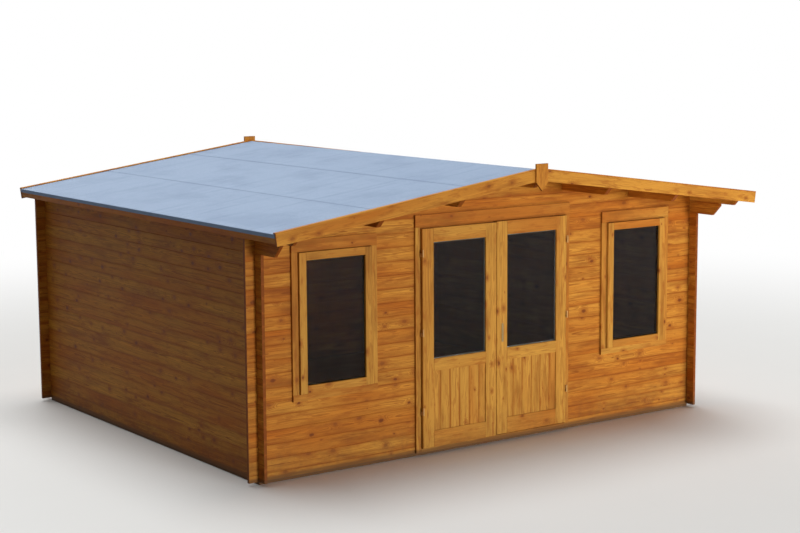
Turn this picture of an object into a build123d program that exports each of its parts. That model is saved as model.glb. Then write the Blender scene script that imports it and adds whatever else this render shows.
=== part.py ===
"""Garden shed of interlocked horizontal logs, with a low roof that runs out over the front.

Millimetres, +Z up. The front, with the doors, faces -Y. The origin is at the middle of the
shed's whole ground rectangle, on the level that the bearers rest on.
"""

import os
from math import atan, cos, sin, sqrt, tan

from build123d import *

# Log walls
WALL_WIDTH = 4756.0
WALL_DEPTH = 3951.0
LOG_T = 28.0
LOG_H = 114.0
LOG_V = 4.0
SIDE_COURSES = 18
TOP_LOGS = 2
STUB = 88.0

# Bearers and floor
BEARER_H = 28.0
BEARER_W = 50.0
BEARER_INSET = 10.0
JOIST_COUNT = 7
FLOOR_T = 18.0
FLOOR_GAP = 5.0

# Roof
ROOF_RISE = 0.1352
ROOF_BOARD_T = 18.0
FELT_T = 3.0
FELT_FOLD = 12.0
SIDE_OVERHANG = 189.0
FRONT_OVERHANG = 605.0
EAVE_TRIM_H = 58.0
EAVE_TRIM_T = 20.0

# Purlins
PURLIN_W = 44.0
PURLIN_H = 136.0
PURLINS_A_SIDE = 2
PURLIN_CHAMFER = 60.0

# Corbels: the side walls' two top logs, carried on past the front wall
LOWER_CORBEL_REACH = 380.0
LOWER_CORBEL_CHAMFER = 92.0
UPPER_CORBEL_CHAMFER = 55.0

# Barge boards and finials
BARGE_H = 95.0
BARGE_T = 18.0
CAP_H = 10.0
CAP_W = 34.0
FINIAL_W = 126.0
FINIAL_T = 18.0
FINIAL_ABOVE = 38.0
FINIAL_H = 228.0
FINIAL_POINT = 72.0

# Frames of the doors and windows
FLANGE_T = 20.0
LAP = 24.0
STOP_LAP = 25.0
EDGE_GAP = 5.0
BACK_GAP = 5.0
LEAF_T = 40.0

# Door leaves
DOOR_HOLE_W = 1642.0
DOOR_FLANGE_W = 50.0
DOOR_HEAD_FLANGE = 103.0
THRESHOLD_H = 34.0
RIGHT_LEAF_LIFT = 6.0
LEAF_STILE_W = 115.0
LEAF_TOP_RAIL = 119.0
LEAF_MID_RAIL = 104.0
LEAF_BOTTOM_RAIL = 140.0
LEAF_GLASS_H = 990.0
MEETING_BEVEL = 2.0
PANEL_T = 16.0
PANEL_INSET = 9.0
PANEL_BOARDS = 6
PANEL_TONGUE = 10.0
PANEL_V = 3.0

# Windows
WINDOW_CENTRE = 1645.0
WINDOW_HOLE_W = 774.0
WINDOW_SILL_COURSE = 5.5
WINDOW_COURSES = 11
WINDOW_HEAD_FLANGE = 99.0
WINDOW_SIDE_FLANGE = 58.0
WINDOW_FOOT_FLANGE = 54.0
CASEMENT_BAR = 66.0
CASEMENT_T = 40.0
CASEMENT_GAP = 3.0

# Glass: sealed units of two sheets, their edges let into the timber round them
GLASS_T = 4.0
GLASS_SPACE = 6.0
GLASS_TONGUE = 12.0
LEAF_GLASS_INSET = 16.0
CASEMENT_GLASS_INSET = 20.0
JOINT_GAP = 0.3

# Hinges
HINGE_FROM_FOOT = 317.0
HINGE_FROM_TOP = 205.0
KNUCKLE_R = 7.0
KNUCKLE_H = 30.0
KNUCKLE_GAP = 0.5
KNUCKLE_CLEAR = 3.0
HINGE_PIN_R = 3.5
HINGE_PIN_CLEAR = 0.1
HINGE_ARM_T = 4.0

# Lock plate
LOCK_W = 20.0
LOCK_H = 165.0
LOCK_T = 3.0
LOCK_FROM_FOOT = 897.0
LOCK_FROM_EDGE = 62.0
KEYHOLE_R = 4.5
KEYHOLE_SLOT_W = 4.0
KEYHOLE_DROP = 10.0

# Sizes that follow from those above
PITCH = atan(ROOF_RISE)
HALF_W = WALL_WIDTH / 2
SIDE_WALL_TOP = BEARER_H + SIDE_COURSES * LOG_H
LOWER_WALL_TOP = BEARER_H + (SIDE_COURSES - TOP_LOGS) * LOG_H
FRONT_WALL_TOP = BEARER_H + (SIDE_COURSES - 0.5) * LOG_H
RIDGE_UNDER = SIDE_WALL_TOP + HALF_W * ROOF_RISE
ROOF_T = ROOF_BOARD_T + FELT_T
EAVE_X = HALF_W + SIDE_OVERHANG

DEPTH_OVERALL = (
    WALL_DEPTH + FRONT_OVERHANG + STUB + 2 * (BARGE_T + FINIAL_T)
)
FRONT_Y = -DEPTH_OVERALL / 2 + FINIAL_T + BARGE_T + FRONT_OVERHANG
BACK_Y = FRONT_Y + WALL_DEPTH
ROOF_FRONT_Y = FRONT_Y - FRONT_OVERHANG
ROOF_BACK_Y = BACK_Y + STUB
ROOF_LENGTH = ROOF_BACK_Y - ROOF_FRONT_Y

LEAF_BACK_Y = FRONT_Y - BACK_GAP
LEAF_FRONT_Y = LEAF_BACK_Y - LEAF_T
DOOR_FRAME_X = DOOR_HOLE_W / 2 + LAP
LEAF_OUTER_X = DOOR_FRAME_X - DOOR_FLANGE_W - EDGE_GAP
LEAF_INNER_X = EDGE_GAP / 2
LEAF_BOTTOM = BEARER_H + THRESHOLD_H + EDGE_GAP
LEAF_TOP = FRONT_WALL_TOP + LAP - DOOR_HEAD_FLANGE - EDGE_GAP
LEAF_H = LEAF_TOP - RIGHT_LEAF_LIFT - LEAF_BOTTOM

LOW_HINGE_Z = LEAF_BOTTOM + HINGE_FROM_FOOT
HIGH_HINGE_Z = LEAF_BOTTOM + LEAF_H - HINGE_FROM_TOP
HINGE_HEIGHTS = (LOW_HINGE_Z, (LOW_HINGE_Z + HIGH_HINGE_Z) / 2, HIGH_HINGE_Z)
HINGE_X = LEAF_OUTER_X + EDGE_GAP / 2
HINGE_Y = LEAF_FRONT_Y - KNUCKLE_CLEAR - KNUCKLE_R

WINDOW_X0 = WINDOW_CENTRE - WINDOW_HOLE_W / 2
WINDOW_X1 = WINDOW_CENTRE + WINDOW_HOLE_W / 2
WINDOW_HOLE_BOTTOM = BEARER_H + WINDOW_SILL_COURSE * LOG_H
WINDOW_HOLE_TOP = WINDOW_HOLE_BOTTOM + WINDOW_COURSES * LOG_H
CASEMENT_SIDE = WINDOW_SIDE_FLANGE - LAP + CASEMENT_GAP
CASEMENT_EDGES = (
    WINDOW_X0 + CASEMENT_SIDE,
    WINDOW_X1 - CASEMENT_SIDE,
    WINDOW_HOLE_BOTTOM - LAP + WINDOW_FOOT_FLANGE + CASEMENT_GAP,
    WINDOW_HOLE_TOP + LAP - WINDOW_HEAD_FLANGE - CASEMENT_GAP,
)
CASEMENT_FRONT_Y = FRONT_Y - CASEMENT_T

# Heights of the joints between logs: the front and back walls start with half a log
SIDE_JOINTS = [BEARER_H + course * LOG_H for course in range(1, SIDE_COURSES)]
GABLE_COURSES = int((RIDGE_UNDER - BEARER_H) / LOG_H + 0.5)
CROSS_JOINTS = [BEARER_H + (course + 0.5) * LOG_H for course in range(GABLE_COURSES)]

os.makedirs("parts", exist_ok=True)


def save(builder, name):
    """Label a finished piece and write it to its own STEP file."""
    builder.part.label = name
    export_step(builder.part, f"parts/{name}.step")


def at_y(y):
    """The upright plane across the shed at y: sketch x is +X, sketch y is +Z, extruding goes to -Y."""
    return Plane.XZ.offset(-y)


def under_roof(x):
    """Height of the roof boards' underside above a point at x."""
    return RIDGE_UNDER - abs(x) * ROOF_RISE


def slope(along, out):
    """Point (x, z) on the right slope: along from the ridge down the underside, out square to it."""
    return (along * cos(PITCH) + out * sin(PITCH), RIDGE_UNDER - along * sin(PITCH) + out * cos(PITCH))


def ridge_along(out):
    """Where the upright plane of the ridge cuts a line at a height out above the underside."""
    return -out * tan(PITCH)


def roof_strip(low, high, near, far):
    """Closed outline of a layer of the right slope, between two heights and two distances down it.

    A near of None stops at the ridge's upright plane.
    """
    top = ridge_along(high) if near is None else near
    bottom = ridge_along(low) if near is None else near
    return [slope(bottom, low), slope(far, low), slope(far, high), slope(top, high)]


def box_sketch(x0, x1, z0, z1, mode=Mode.ADD):
    """Rectangle by its edges, on the current sketch plane."""
    with Locations(((x0 + x1) / 2, (z0 + z1) / 2)):
        Rectangle(x1 - x0, z1 - z0, mode=mode)


def outline(points):
    """Filled polygon through the given points, on the current sketch plane."""
    with BuildLine() as edge:
        Polyline(*points, close=True)
    make_face(edge.edges())


def box_part(x0, x1, y0, y1, z0, z1):
    """Plain rectangular timber by its edges, in the current part."""
    with BuildSketch(at_y(y1)) as end_face:
        box_sketch(x0, x1, z0, z1)
    extrude(end_face.sketch, amount=y1 - y0)


def v_cuts(plane, faces, joints, depth, length):
    """Cut a V of the given depth into each face at each joint, from the plane over the given length."""
    with BuildSketch(plane) as diamonds:
        with Locations(*[(face, joint) for face in faces for joint in joints]):
            Rectangle(depth * sqrt(2), depth * sqrt(2), rotation=45)
    extrude(diamonds.sketch, amount=length, mode=Mode.SUBTRACT)


def side_v_joints():
    """V joints along a right side wall, on its outer face."""
    v_cuts(at_y(BACK_Y + STUB), (HALF_W,), SIDE_JOINTS, LOG_V, ROOF_LENGTH)


def cross_v_joints(face_y):
    """V joints along a front or back wall, on its outer face, which is at face_y."""
    length = WALL_WIDTH + 2 * STUB
    v_cuts(Plane.YZ.offset(-length / 2), (face_y,), CROSS_JOINTS, LOG_V, length)


# Bearers under the four walls and joists under the floor, all flat on the ground
BEARER_X = HALF_W - BEARER_INSET
BEARER_Y0 = FRONT_Y + BEARER_INSET
BEARER_Y1 = BACK_Y - BEARER_INSET
with BuildPart() as bearers:
    for side in (-1, 1):
        x0, x1 = sorted((side * BEARER_X, side * (BEARER_X - BEARER_W)))
        box_part(x0, x1, BEARER_Y0, BEARER_Y1, 0, BEARER_H)
    inner = BEARER_X - BEARER_W - JOINT_GAP
    for y0 in (BEARER_Y0, BEARER_Y1 - BEARER_W):
        box_part(-inner, inner, y0, y0 + BEARER_W, 0, BEARER_H)
    pitch_x = 2 * inner / (JOIST_COUNT + 1)
    joist_y0 = BEARER_Y0 + BEARER_W + JOINT_GAP
    joist_y1 = BEARER_Y1 - BEARER_W - JOINT_GAP
    for i in range(JOIST_COUNT):
        mid = -inner + pitch_x * (i + 1)
        box_part(mid - BEARER_W / 2, mid + BEARER_W / 2, joist_y0, joist_y1, 0, BEARER_H)
save(bearers, "bearers")

with BuildPart() as floor_boards:
    floor_x = HALF_W - LOG_T - FLOOR_GAP
    floor_y0 = FRONT_Y + LOG_T + FLANGE_T + FLOOR_GAP
    box_part(-floor_x, floor_x, floor_y0, BACK_Y - LOG_T - FLOOR_GAP, BEARER_H, BEARER_H + FLOOR_T)
save(floor_boards, "floor_boards")


def side_notches():
    """Halving notches of a side wall: where the front and back logs pass through it."""
    for y in (FRONT_Y + LOG_T / 2, BACK_Y - LOG_T / 2):
        for course in range(SIDE_COURSES + 1):
            with Locations((y, BEARER_H + course * LOG_H)):
                Rectangle(LOG_T, LOG_H / 2, mode=Mode.SUBTRACT)


def cross_notches():
    """Halving notches of a front or back wall: where the side logs pass through it."""
    for x in (-HALF_W + LOG_T / 2, HALF_W - LOG_T / 2):
        for course in range(SIDE_COURSES):
            with Locations((x, BEARER_H + (course + 0.5) * LOG_H)):
                Rectangle(LOG_T, LOG_H / 2, mode=Mode.SUBTRACT)


# Side walls below their two top logs
with BuildPart() as right_wall:
    with BuildSketch(Plane.YZ.offset(HALF_W - LOG_T)):
        box_sketch(FRONT_Y - STUB, BACK_Y + STUB, BEARER_H, LOWER_WALL_TOP)
        side_notches()
    extrude(amount=LOG_T)
    side_v_joints()
save(right_wall, "right_wall")

with BuildPart() as left_wall:
    mirror(right_wall.part, about=Plane.YZ)
save(left_wall, "left_wall")

# The two top logs of each side wall run on to the front as a stepped corbel under the roof
with BuildPart() as right_top_logs:
    with BuildSketch(Plane.YZ.offset(HALF_W - LOG_T)):
        upper_z = SIDE_WALL_TOP - LOG_H
        lower_tip = FRONT_Y - LOWER_CORBEL_REACH
        outline([
            (BACK_Y + STUB, LOWER_WALL_TOP),
            (BACK_Y + STUB, SIDE_WALL_TOP + LOG_T),
            (ROOF_FRONT_Y, SIDE_WALL_TOP + LOG_T),
            (ROOF_FRONT_Y, upper_z + UPPER_CORBEL_CHAMFER),
            (ROOF_FRONT_Y + UPPER_CORBEL_CHAMFER, upper_z),
            (lower_tip, upper_z),
            (lower_tip, LOWER_WALL_TOP + LOWER_CORBEL_CHAMFER),
            (lower_tip + LOWER_CORBEL_CHAMFER, LOWER_WALL_TOP),
        ])
        side_notches()
        for y in (FRONT_Y + LOG_T / 2, BACK_Y - LOG_T / 2):
            box_sketch(
                y - LOG_T / 2, y + LOG_T / 2,
                SIDE_WALL_TOP - LOG_H / 4, SIDE_WALL_TOP + 2 * LOG_T, mode=Mode.SUBTRACT,
            )
    extrude(amount=LOG_T)
    split(
        bisect_by=Plane(origin=(0, 0, RIDGE_UNDER), z_dir=(sin(PITCH), 0, cos(PITCH))),
        keep=Keep.BOTTOM,
    )
    side_v_joints()
save(right_top_logs, "right_top_logs")

with BuildPart() as left_top_logs:
    mirror(right_top_logs.part, about=Plane.YZ)
save(left_top_logs, "left_top_logs")

# Front wall beside the doors, each side with its window hole
with BuildPart() as front_wall_right:
    with BuildSketch(at_y(FRONT_Y + LOG_T)):
        box_sketch(DOOR_HOLE_W / 2, HALF_W + STUB, BEARER_H, FRONT_WALL_TOP)
        cross_notches()
        box_sketch(
            WINDOW_X0, WINDOW_X1, WINDOW_HOLE_BOTTOM, WINDOW_HOLE_TOP, mode=Mode.SUBTRACT,
        )
    extrude(amount=LOG_T)
    cross_v_joints(FRONT_Y)
save(front_wall_right, "front_wall_right")

with BuildPart() as front_wall_left:
    mirror(front_wall_right.part, about=Plane.YZ)
save(front_wall_left, "front_wall_left")

with BuildPart() as back_wall:
    with BuildSketch(at_y(BACK_Y)):
        box_sketch(-HALF_W - STUB, HALF_W + STUB, BEARER_H, FRONT_WALL_TOP)
        cross_notches()
    extrude(amount=LOG_T)
    cross_v_joints(BACK_Y)
save(back_wall, "back_wall")

PURLIN_PITCH = HALF_W / (PURLINS_A_SIDE + 1)
PURLIN_XS = [PURLIN_PITCH * i for i in range(-PURLINS_A_SIDE, PURLINS_A_SIDE + 1)]


def purlin_outline(x):
    """End view of a purlin: square sides and foot, its top cut to the slope of the boards on it."""
    x0 = x - PURLIN_W / 2
    x1 = x + PURLIN_W / 2
    foot = under_roof(x) - PURLIN_H
    points = [(x0, foot), (x1, foot), (x1, under_roof(x1)), (x0, under_roof(x0))]
    if x0 < 0 < x1:
        points.insert(3, (0, RIDGE_UNDER))
    return points


# Gables over the front and the back wall, with a pocket for each purlin
for gable_name, outer_y, gable_y in (
    ("front_gable", FRONT_Y, FRONT_Y + LOG_T), ("back_gable", BACK_Y, BACK_Y),
):
    with BuildPart() as gable:
        with BuildSketch(at_y(gable_y)):
            tip = HALF_W + STUB
            outline([
                (-tip, FRONT_WALL_TOP), (tip, FRONT_WALL_TOP), (tip, under_roof(tip)),
                (0, RIDGE_UNDER), (-tip, under_roof(tip)),
            ])
            cross_notches()
            for x in PURLIN_XS:
                box_sketch(
                    x - PURLIN_W / 2, x + PURLIN_W / 2,
                    under_roof(x) - PURLIN_H, RIDGE_UNDER + LOG_H, mode=Mode.SUBTRACT,
                )
        extrude(amount=LOG_T)
        cross_v_joints(outer_y)
    save(gable, gable_name)

# Purlins from the back to behind the front barge boards, their front feet cut off at a slant
with BuildPart() as purlins:
    for x in PURLIN_XS:
        with BuildSketch(at_y(ROOF_BACK_Y)):
            outline(purlin_outline(x))
        extrude(amount=ROOF_LENGTH)
        foot = under_roof(x) - PURLIN_H
        with BuildSketch(Plane.YZ.offset(x - PURLIN_W / 2)):
            outline([
                (ROOF_FRONT_Y, foot),
                (ROOF_FRONT_Y + PURLIN_CHAMFER, foot),
                (ROOF_FRONT_Y, foot + PURLIN_CHAMFER),
            ])
        extrude(amount=PURLIN_W, mode=Mode.SUBTRACT)
save(purlins, "purlins")

# Roof boards, the trim under their ends, and felt with its fold down over the top of the trim
BARGE_END = (EAVE_X - ROOF_T * sin(PITCH)) / cos(PITCH)
EAVE_END = BARGE_END - FELT_T
with BuildPart() as roof_boards_right:
    with BuildSketch(at_y(ROOF_BACK_Y)):
        outline(roof_strip(0, ROOF_BOARD_T, None, EAVE_END))
    extrude(amount=ROOF_LENGTH)
save(roof_boards_right, "roof_boards_right")

with BuildPart() as roof_boards_left:
    mirror(roof_boards_right.part, about=Plane.YZ)
save(roof_boards_left, "roof_boards_left")

with BuildPart() as eave_trims:
    with BuildSketch(at_y(ROOF_BACK_Y)):
        outline(roof_strip(-EAVE_TRIM_H, 0, EAVE_END - EAVE_TRIM_T, EAVE_END))
    extrude(amount=ROOF_LENGTH)
    mirror(about=Plane.YZ)
save(eave_trims, "eave_trims")

with BuildPart() as roof_felt_right:
    with BuildSketch(at_y(ROOF_BACK_Y)):
        outline([
            slope(ridge_along(ROOF_BOARD_T), ROOF_BOARD_T),
            slope(EAVE_END, ROOF_BOARD_T),
            slope(EAVE_END, -FELT_FOLD),
            slope(EAVE_END + FELT_T, -FELT_FOLD),
            slope(EAVE_END + FELT_T, ROOF_T),
            slope(ridge_along(ROOF_T), ROOF_T),
        ])
    extrude(amount=ROOF_LENGTH)
save(roof_felt_right, "roof_felt_right")

with BuildPart() as roof_felt_left:
    mirror(roof_felt_right.part, about=Plane.YZ)
save(roof_felt_left, "roof_felt_left")

# Barge boards with their capping strips, and a finial block over each ridge joint
for end, barge_y1, finial_y1 in (
    ("front", ROOF_FRONT_Y, ROOF_FRONT_Y - BARGE_T),
    ("back", ROOF_BACK_Y + BARGE_T, ROOF_BACK_Y + BARGE_T + FINIAL_T),
):
    with BuildPart() as barge_right:
        with BuildSketch(at_y(barge_y1)):
            outline(roof_strip(ROOF_T - BARGE_H, ROOF_T, None, BARGE_END))
        extrude(amount=BARGE_T)
    save(barge_right, f"{end}_barge_right")

    with BuildPart() as barge_left:
        mirror(barge_right.part, about=Plane.YZ)
    save(barge_left, f"{end}_barge_left")

    with BuildPart() as finial:
        finial_top = slope(ridge_along(ROOF_T), ROOF_T)[1] + CAP_H + FINIAL_ABOVE
        with BuildSketch(at_y(finial_y1)):
            shoulder_z = finial_top - FINIAL_H + FINIAL_POINT
            outline([
                (-FINIAL_W / 2, finial_top), (FINIAL_W / 2, finial_top), (FINIAL_W / 2, shoulder_z),
                (0, finial_top - FINIAL_H), (-FINIAL_W / 2, shoulder_z),
            ])
        extrude(amount=FINIAL_T)
    save(finial, f"{end}_finial")


with BuildPart() as barge_caps:
    for cap_y1 in (ROOF_FRONT_Y - BARGE_T + CAP_W, ROOF_BACK_Y + BARGE_T):
        with BuildSketch(at_y(cap_y1)):
            outline(roof_strip(ROOF_T, ROOF_T + CAP_H, JOINT_GAP, BARGE_END))
        extrude(amount=CAP_W)
    mirror(about=Plane.YZ)
save(barge_caps, "barge_caps")


def frame_member(flange, core, inner):
    """One bar of a frame that clasps the log ends.

    Each argument is (x0, x1, z0, z1): the flange outside the logs, the core in their thickness
    and the flange inside.
    """
    box_part(flange[0], flange[1], FRONT_Y - FLANGE_T, FRONT_Y, flange[2], flange[3])
    box_part(core[0], core[1], FRONT_Y, FRONT_Y + LOG_T, core[2], core[3])
    box_part(inner[0], inner[1], FRONT_Y + LOG_T, FRONT_Y + LOG_T + FLANGE_T, inner[2], inner[3])


# Door frame: the head lies across the tops of the jambs, the threshold between their feet
door_flange_z = LEAF_TOP + EDGE_GAP
door_stop_z = LEAF_TOP - STOP_LAP
door_stop_x = LEAF_OUTER_X - STOP_LAP
door_flange_x = LEAF_OUTER_X + EDGE_GAP
with BuildPart() as door_jamb_right:
    frame_member(
        (door_flange_x, DOOR_FRAME_X, BEARER_H, door_flange_z),
        (door_stop_x, DOOR_HOLE_W / 2, BEARER_H, door_stop_z),
        (door_stop_x, DOOR_FRAME_X, BEARER_H, door_stop_z),
    )
save(door_jamb_right, "door_jamb_right")

with BuildPart() as door_jamb_left:
    mirror(door_jamb_right.part, about=Plane.YZ)
save(door_jamb_left, "door_jamb_left")

with BuildPart() as door_head:
    frame_member(
        (-DOOR_FRAME_X, DOOR_FRAME_X, door_flange_z, FRONT_WALL_TOP + LAP),
        (-DOOR_HOLE_W / 2, DOOR_HOLE_W / 2, door_stop_z, FRONT_WALL_TOP),
        (-DOOR_FRAME_X, DOOR_FRAME_X, door_stop_z, FRONT_WALL_TOP + LAP),
    )
save(door_head, "door_head")

with BuildPart() as door_threshold:
    sill_z = LEAF_BOTTOM - EDGE_GAP
    frame_member(
        (-door_flange_x, door_flange_x, BEARER_H, sill_z),
        (-door_stop_x, door_stop_x, BEARER_H, sill_z + STOP_LAP),
        (-door_stop_x, door_stop_x, BEARER_H, sill_z + STOP_LAP),
    )
save(door_threshold, "door_threshold")


def stiles_and_rails(edges, y0, y1, stile, rails):
    """Two stiles and the rails between them; rails holds the (z0, z1) of each rail."""
    x0, x1, z0, z1 = edges
    box_part(x0, x0 + stile, y0, y1, z0, z1)
    box_part(x1 - stile, x1, y0, y1, z0, z1)
    for low, high in rails:
        box_part(x0 + stile + JOINT_GAP, x1 - stile - JOINT_GAP, y0, y1, low, high)


def grown(edges, margin):
    """Rectangle (x0, x1, z0, z1) with each edge moved out by a margin."""
    x0, x1, z0, z1 = edges
    return (x0 - margin, x1 + margin, z0 - margin, z1 + margin)


def ring_part(outer, inner, y0, y1):
    """Flat frame between two rectangles (x0, x1, z0, z1), in the current part."""
    with BuildSketch(at_y(y1)) as face:
        box_sketch(*outer)
        box_sketch(*inner, mode=Mode.SUBTRACT)
    extrude(face.sketch, amount=y1 - y0)


def let_in(edges, y0, thickness, tongue, mode=Mode.ADD):
    """A sheet whose edges reach into the timber round an opening; subtracting it cuts its grooves."""
    clear = JOINT_GAP if mode == Mode.SUBTRACT else 0
    x0, x1, z0, z1 = grown(edges, tongue + clear)
    with BuildSketch(at_y(y0 + thickness + clear)) as face:
        box_sketch(x0, x1, z0, z1)
    extrude(face.sketch, amount=thickness + 2 * clear, mode=mode)


def sealed_unit(edges, y0):
    """The two sheets of a double glazed unit, its outer face at y0."""
    for sheet_y in (y0, y0 + GLASS_T + GLASS_SPACE):
        let_in(edges, sheet_y, GLASS_T, GLASS_TONGUE)


def unit_groove(edges, y0):
    """The groove that holds a sealed unit, cut from the current part."""
    let_in(edges, y0, 2 * GLASS_T + GLASS_SPACE, GLASS_TONGUE, mode=Mode.SUBTRACT)


# Windows: a clasping frame, a casement that shuts flat against it, and a sealed unit
PANE_EDGES = grown(CASEMENT_EDGES, -CASEMENT_BAR)
PANE_Y = CASEMENT_FRONT_Y + CASEMENT_GLASS_INSET
with BuildPart() as window_frame_right:
    hole = (WINDOW_X0, WINDOW_X1, WINDOW_HOLE_BOTTOM, WINDOW_HOLE_TOP)
    cover = grown(hole, LAP)
    stop = grown(CASEMENT_EDGES, -STOP_LAP)
    ring_part(cover, grown(CASEMENT_EDGES, CASEMENT_GAP), FRONT_Y - FLANGE_T, FRONT_Y)
    ring_part(hole, stop, FRONT_Y, FRONT_Y + LOG_T)
    ring_part(cover, stop, FRONT_Y + LOG_T, FRONT_Y + LOG_T + FLANGE_T)
save(window_frame_right, "window_frame_right")

with BuildPart() as window_frame_left:
    mirror(window_frame_right.part, about=Plane.YZ)
save(window_frame_left, "window_frame_left")

with BuildPart() as casement_right:
    foot_z, top_z = CASEMENT_EDGES[2:]
    stiles_and_rails(
        CASEMENT_EDGES, CASEMENT_FRONT_Y, FRONT_Y, CASEMENT_BAR,
        [(foot_z, foot_z + CASEMENT_BAR), (top_z - CASEMENT_BAR, top_z)],
    )
    unit_groove(PANE_EDGES, PANE_Y)
save(casement_right, "casement_right")

with BuildPart() as casement_left:
    mirror(casement_right.part, about=Plane.YZ)
save(casement_left, "casement_left")

with BuildPart() as window_glass_right:
    sealed_unit(PANE_EDGES, PANE_Y)
save(window_glass_right, "window_glass_right")

with BuildPart() as window_glass_left:
    mirror(window_glass_right.part, about=Plane.YZ)
save(window_glass_left, "window_glass_left")


# Door leaves
def door_leaf(side, name, lift):
    """One leaf on the given side: frame, lower panel of boards, glass and its hinge sleeves."""
    z0 = LEAF_BOTTOM + lift
    z1 = z0 + LEAF_H
    glass_z1 = z1 - LEAF_TOP_RAIL
    glass_z0 = glass_z1 - LEAF_GLASS_H
    panel_z1 = glass_z0 - LEAF_MID_RAIL
    panel_z0 = z0 + LEAF_BOTTOM_RAIL
    x0, x1 = sorted((side * LEAF_INNER_X, side * LEAF_OUTER_X))
    open_x0 = x0 + LEAF_STILE_W
    open_x1 = x1 - LEAF_STILE_W
    pane = (open_x0, open_x1, glass_z0, glass_z1)
    pane_y = LEAF_FRONT_Y + LEAF_GLASS_INSET
    boards = (open_x0, open_x1, panel_z0, panel_z1)
    boards_y = LEAF_FRONT_Y + PANEL_INSET

    with BuildPart() as leaf:
        stiles_and_rails(
            (x0, x1, z0, z1), LEAF_FRONT_Y, LEAF_BACK_Y, LEAF_STILE_W,
            [(z0, panel_z0), (panel_z1, glass_z0), (glass_z1, z1)],
        )
        with BuildSketch(Plane.XY.offset(z0)):
            outline([
                (side * LEAF_INNER_X, LEAF_FRONT_Y),
                (side * (LEAF_INNER_X + MEETING_BEVEL), LEAF_BACK_Y),
                (side * LEAF_INNER_X, LEAF_BACK_Y),
            ])
        extrude(amount=LEAF_H, mode=Mode.SUBTRACT)
        unit_groove(pane, pane_y)
        let_in(boards, boards_y, PANEL_T, PANEL_TONGUE, mode=Mode.SUBTRACT)
    save(leaf, f"{name}_door_leaf")

    with BuildPart() as panel:
        let_in(boards, boards_y, PANEL_T, PANEL_TONGUE)
        board_w = (open_x1 - open_x0) / PANEL_BOARDS
        joints = [open_x0 + board_w * i for i in range(1, PANEL_BOARDS)]
        foot = Plane(origin=(0, 0, panel_z0 - PANEL_TONGUE), x_dir=(0, 1, 0), z_dir=(0, 0, 1))
        faces = (boards_y, boards_y + PANEL_T)
        v_cuts(foot, faces, [-joint for joint in joints], PANEL_V, panel_z1 - panel_z0 + 2 * PANEL_TONGUE)
    save(panel, f"{name}_door_panel")

    with BuildPart() as glass:
        sealed_unit(pane, pane_y)
    save(glass, f"{name}_door_glass")


door_leaf(-1, "left", 0)
door_leaf(1, "right", RIGHT_LEAF_LIFT)


# Hinges: a lower knuckle with the pin on the frame, and a sleeve over the pin on the leaf
with BuildPart() as hinge_pins:
    for side in (-1, 1):
        arm_x0, arm_x1 = sorted((
            side * (HINGE_X + KNUCKLE_R - HINGE_ARM_T), side * (HINGE_X + KNUCKLE_R),
        ))
        for z in HINGE_HEIGHTS:
            with BuildSketch(Plane.XY.offset(z - KNUCKLE_H)):
                with Locations((side * HINGE_X, HINGE_Y)):
                    Circle(KNUCKLE_R)
                box_sketch(arm_x0, arm_x1, HINGE_Y, FRONT_Y - FLANGE_T)
            extrude(amount=KNUCKLE_H)
            with BuildSketch(Plane.XY.offset(z)):
                with Locations((side * HINGE_X, HINGE_Y)):
                    Circle(HINGE_PIN_R)
            extrude(amount=KNUCKLE_H)
save(hinge_pins, "hinge_pins")

for side, name in ((-1, "left"), (1, "right")):
    with BuildPart() as sleeves:
        arm_x0, arm_x1 = sorted((
            side * (HINGE_X - KNUCKLE_R), side * (HINGE_X - KNUCKLE_R + HINGE_ARM_T),
        ))
        for z in HINGE_HEIGHTS:
            with BuildSketch(Plane.XY.offset(z + KNUCKLE_GAP)):
                with Locations((side * HINGE_X, HINGE_Y)):
                    Circle(KNUCKLE_R)
                box_sketch(arm_x0, arm_x1, HINGE_Y, LEAF_FRONT_Y)
                with Locations((side * HINGE_X, HINGE_Y)):
                    Circle(HINGE_PIN_R + HINGE_PIN_CLEAR, mode=Mode.SUBTRACT)
            extrude(amount=KNUCKLE_H)
    save(sleeves, f"{name}_hinge_sleeves")

# Lock plate with its keyhole, on the right leaf's meeting stile
with BuildPart() as lock_plate:
    with BuildSketch(at_y(LEAF_FRONT_Y)):
        lock_x = LEAF_INNER_X + LOCK_FROM_EDGE
        lock_z = LEAF_BOTTOM + RIGHT_LEAF_LIFT + LOCK_FROM_FOOT
        with Locations((lock_x, lock_z)):
            SlotOverall(LOCK_H, LOCK_W, rotation=90)
            Circle(KEYHOLE_R, mode=Mode.SUBTRACT)
        box_sketch(
            lock_x - KEYHOLE_SLOT_W / 2, lock_x + KEYHOLE_SLOT_W / 2,
            lock_z - KEYHOLE_DROP, lock_z, mode=Mode.SUBTRACT,
        )
    extrude(amount=LOCK_T)
save(lock_plate, "lock_plate")
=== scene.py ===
"""Looks of a garden shed of interlocked logs: every timber, the felt, the glass and the ironwork.

Metres, +Z up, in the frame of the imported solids. The front, with the doors, faces -Y.
"""

import zlib
from math import atan, cos, pi, radians, sin

import bpy
import numpy as np
from bpy.props import FloatProperty, FloatVectorProperty, IntProperty, PointerProperty
from mathutils import Matrix, Vector


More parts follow.
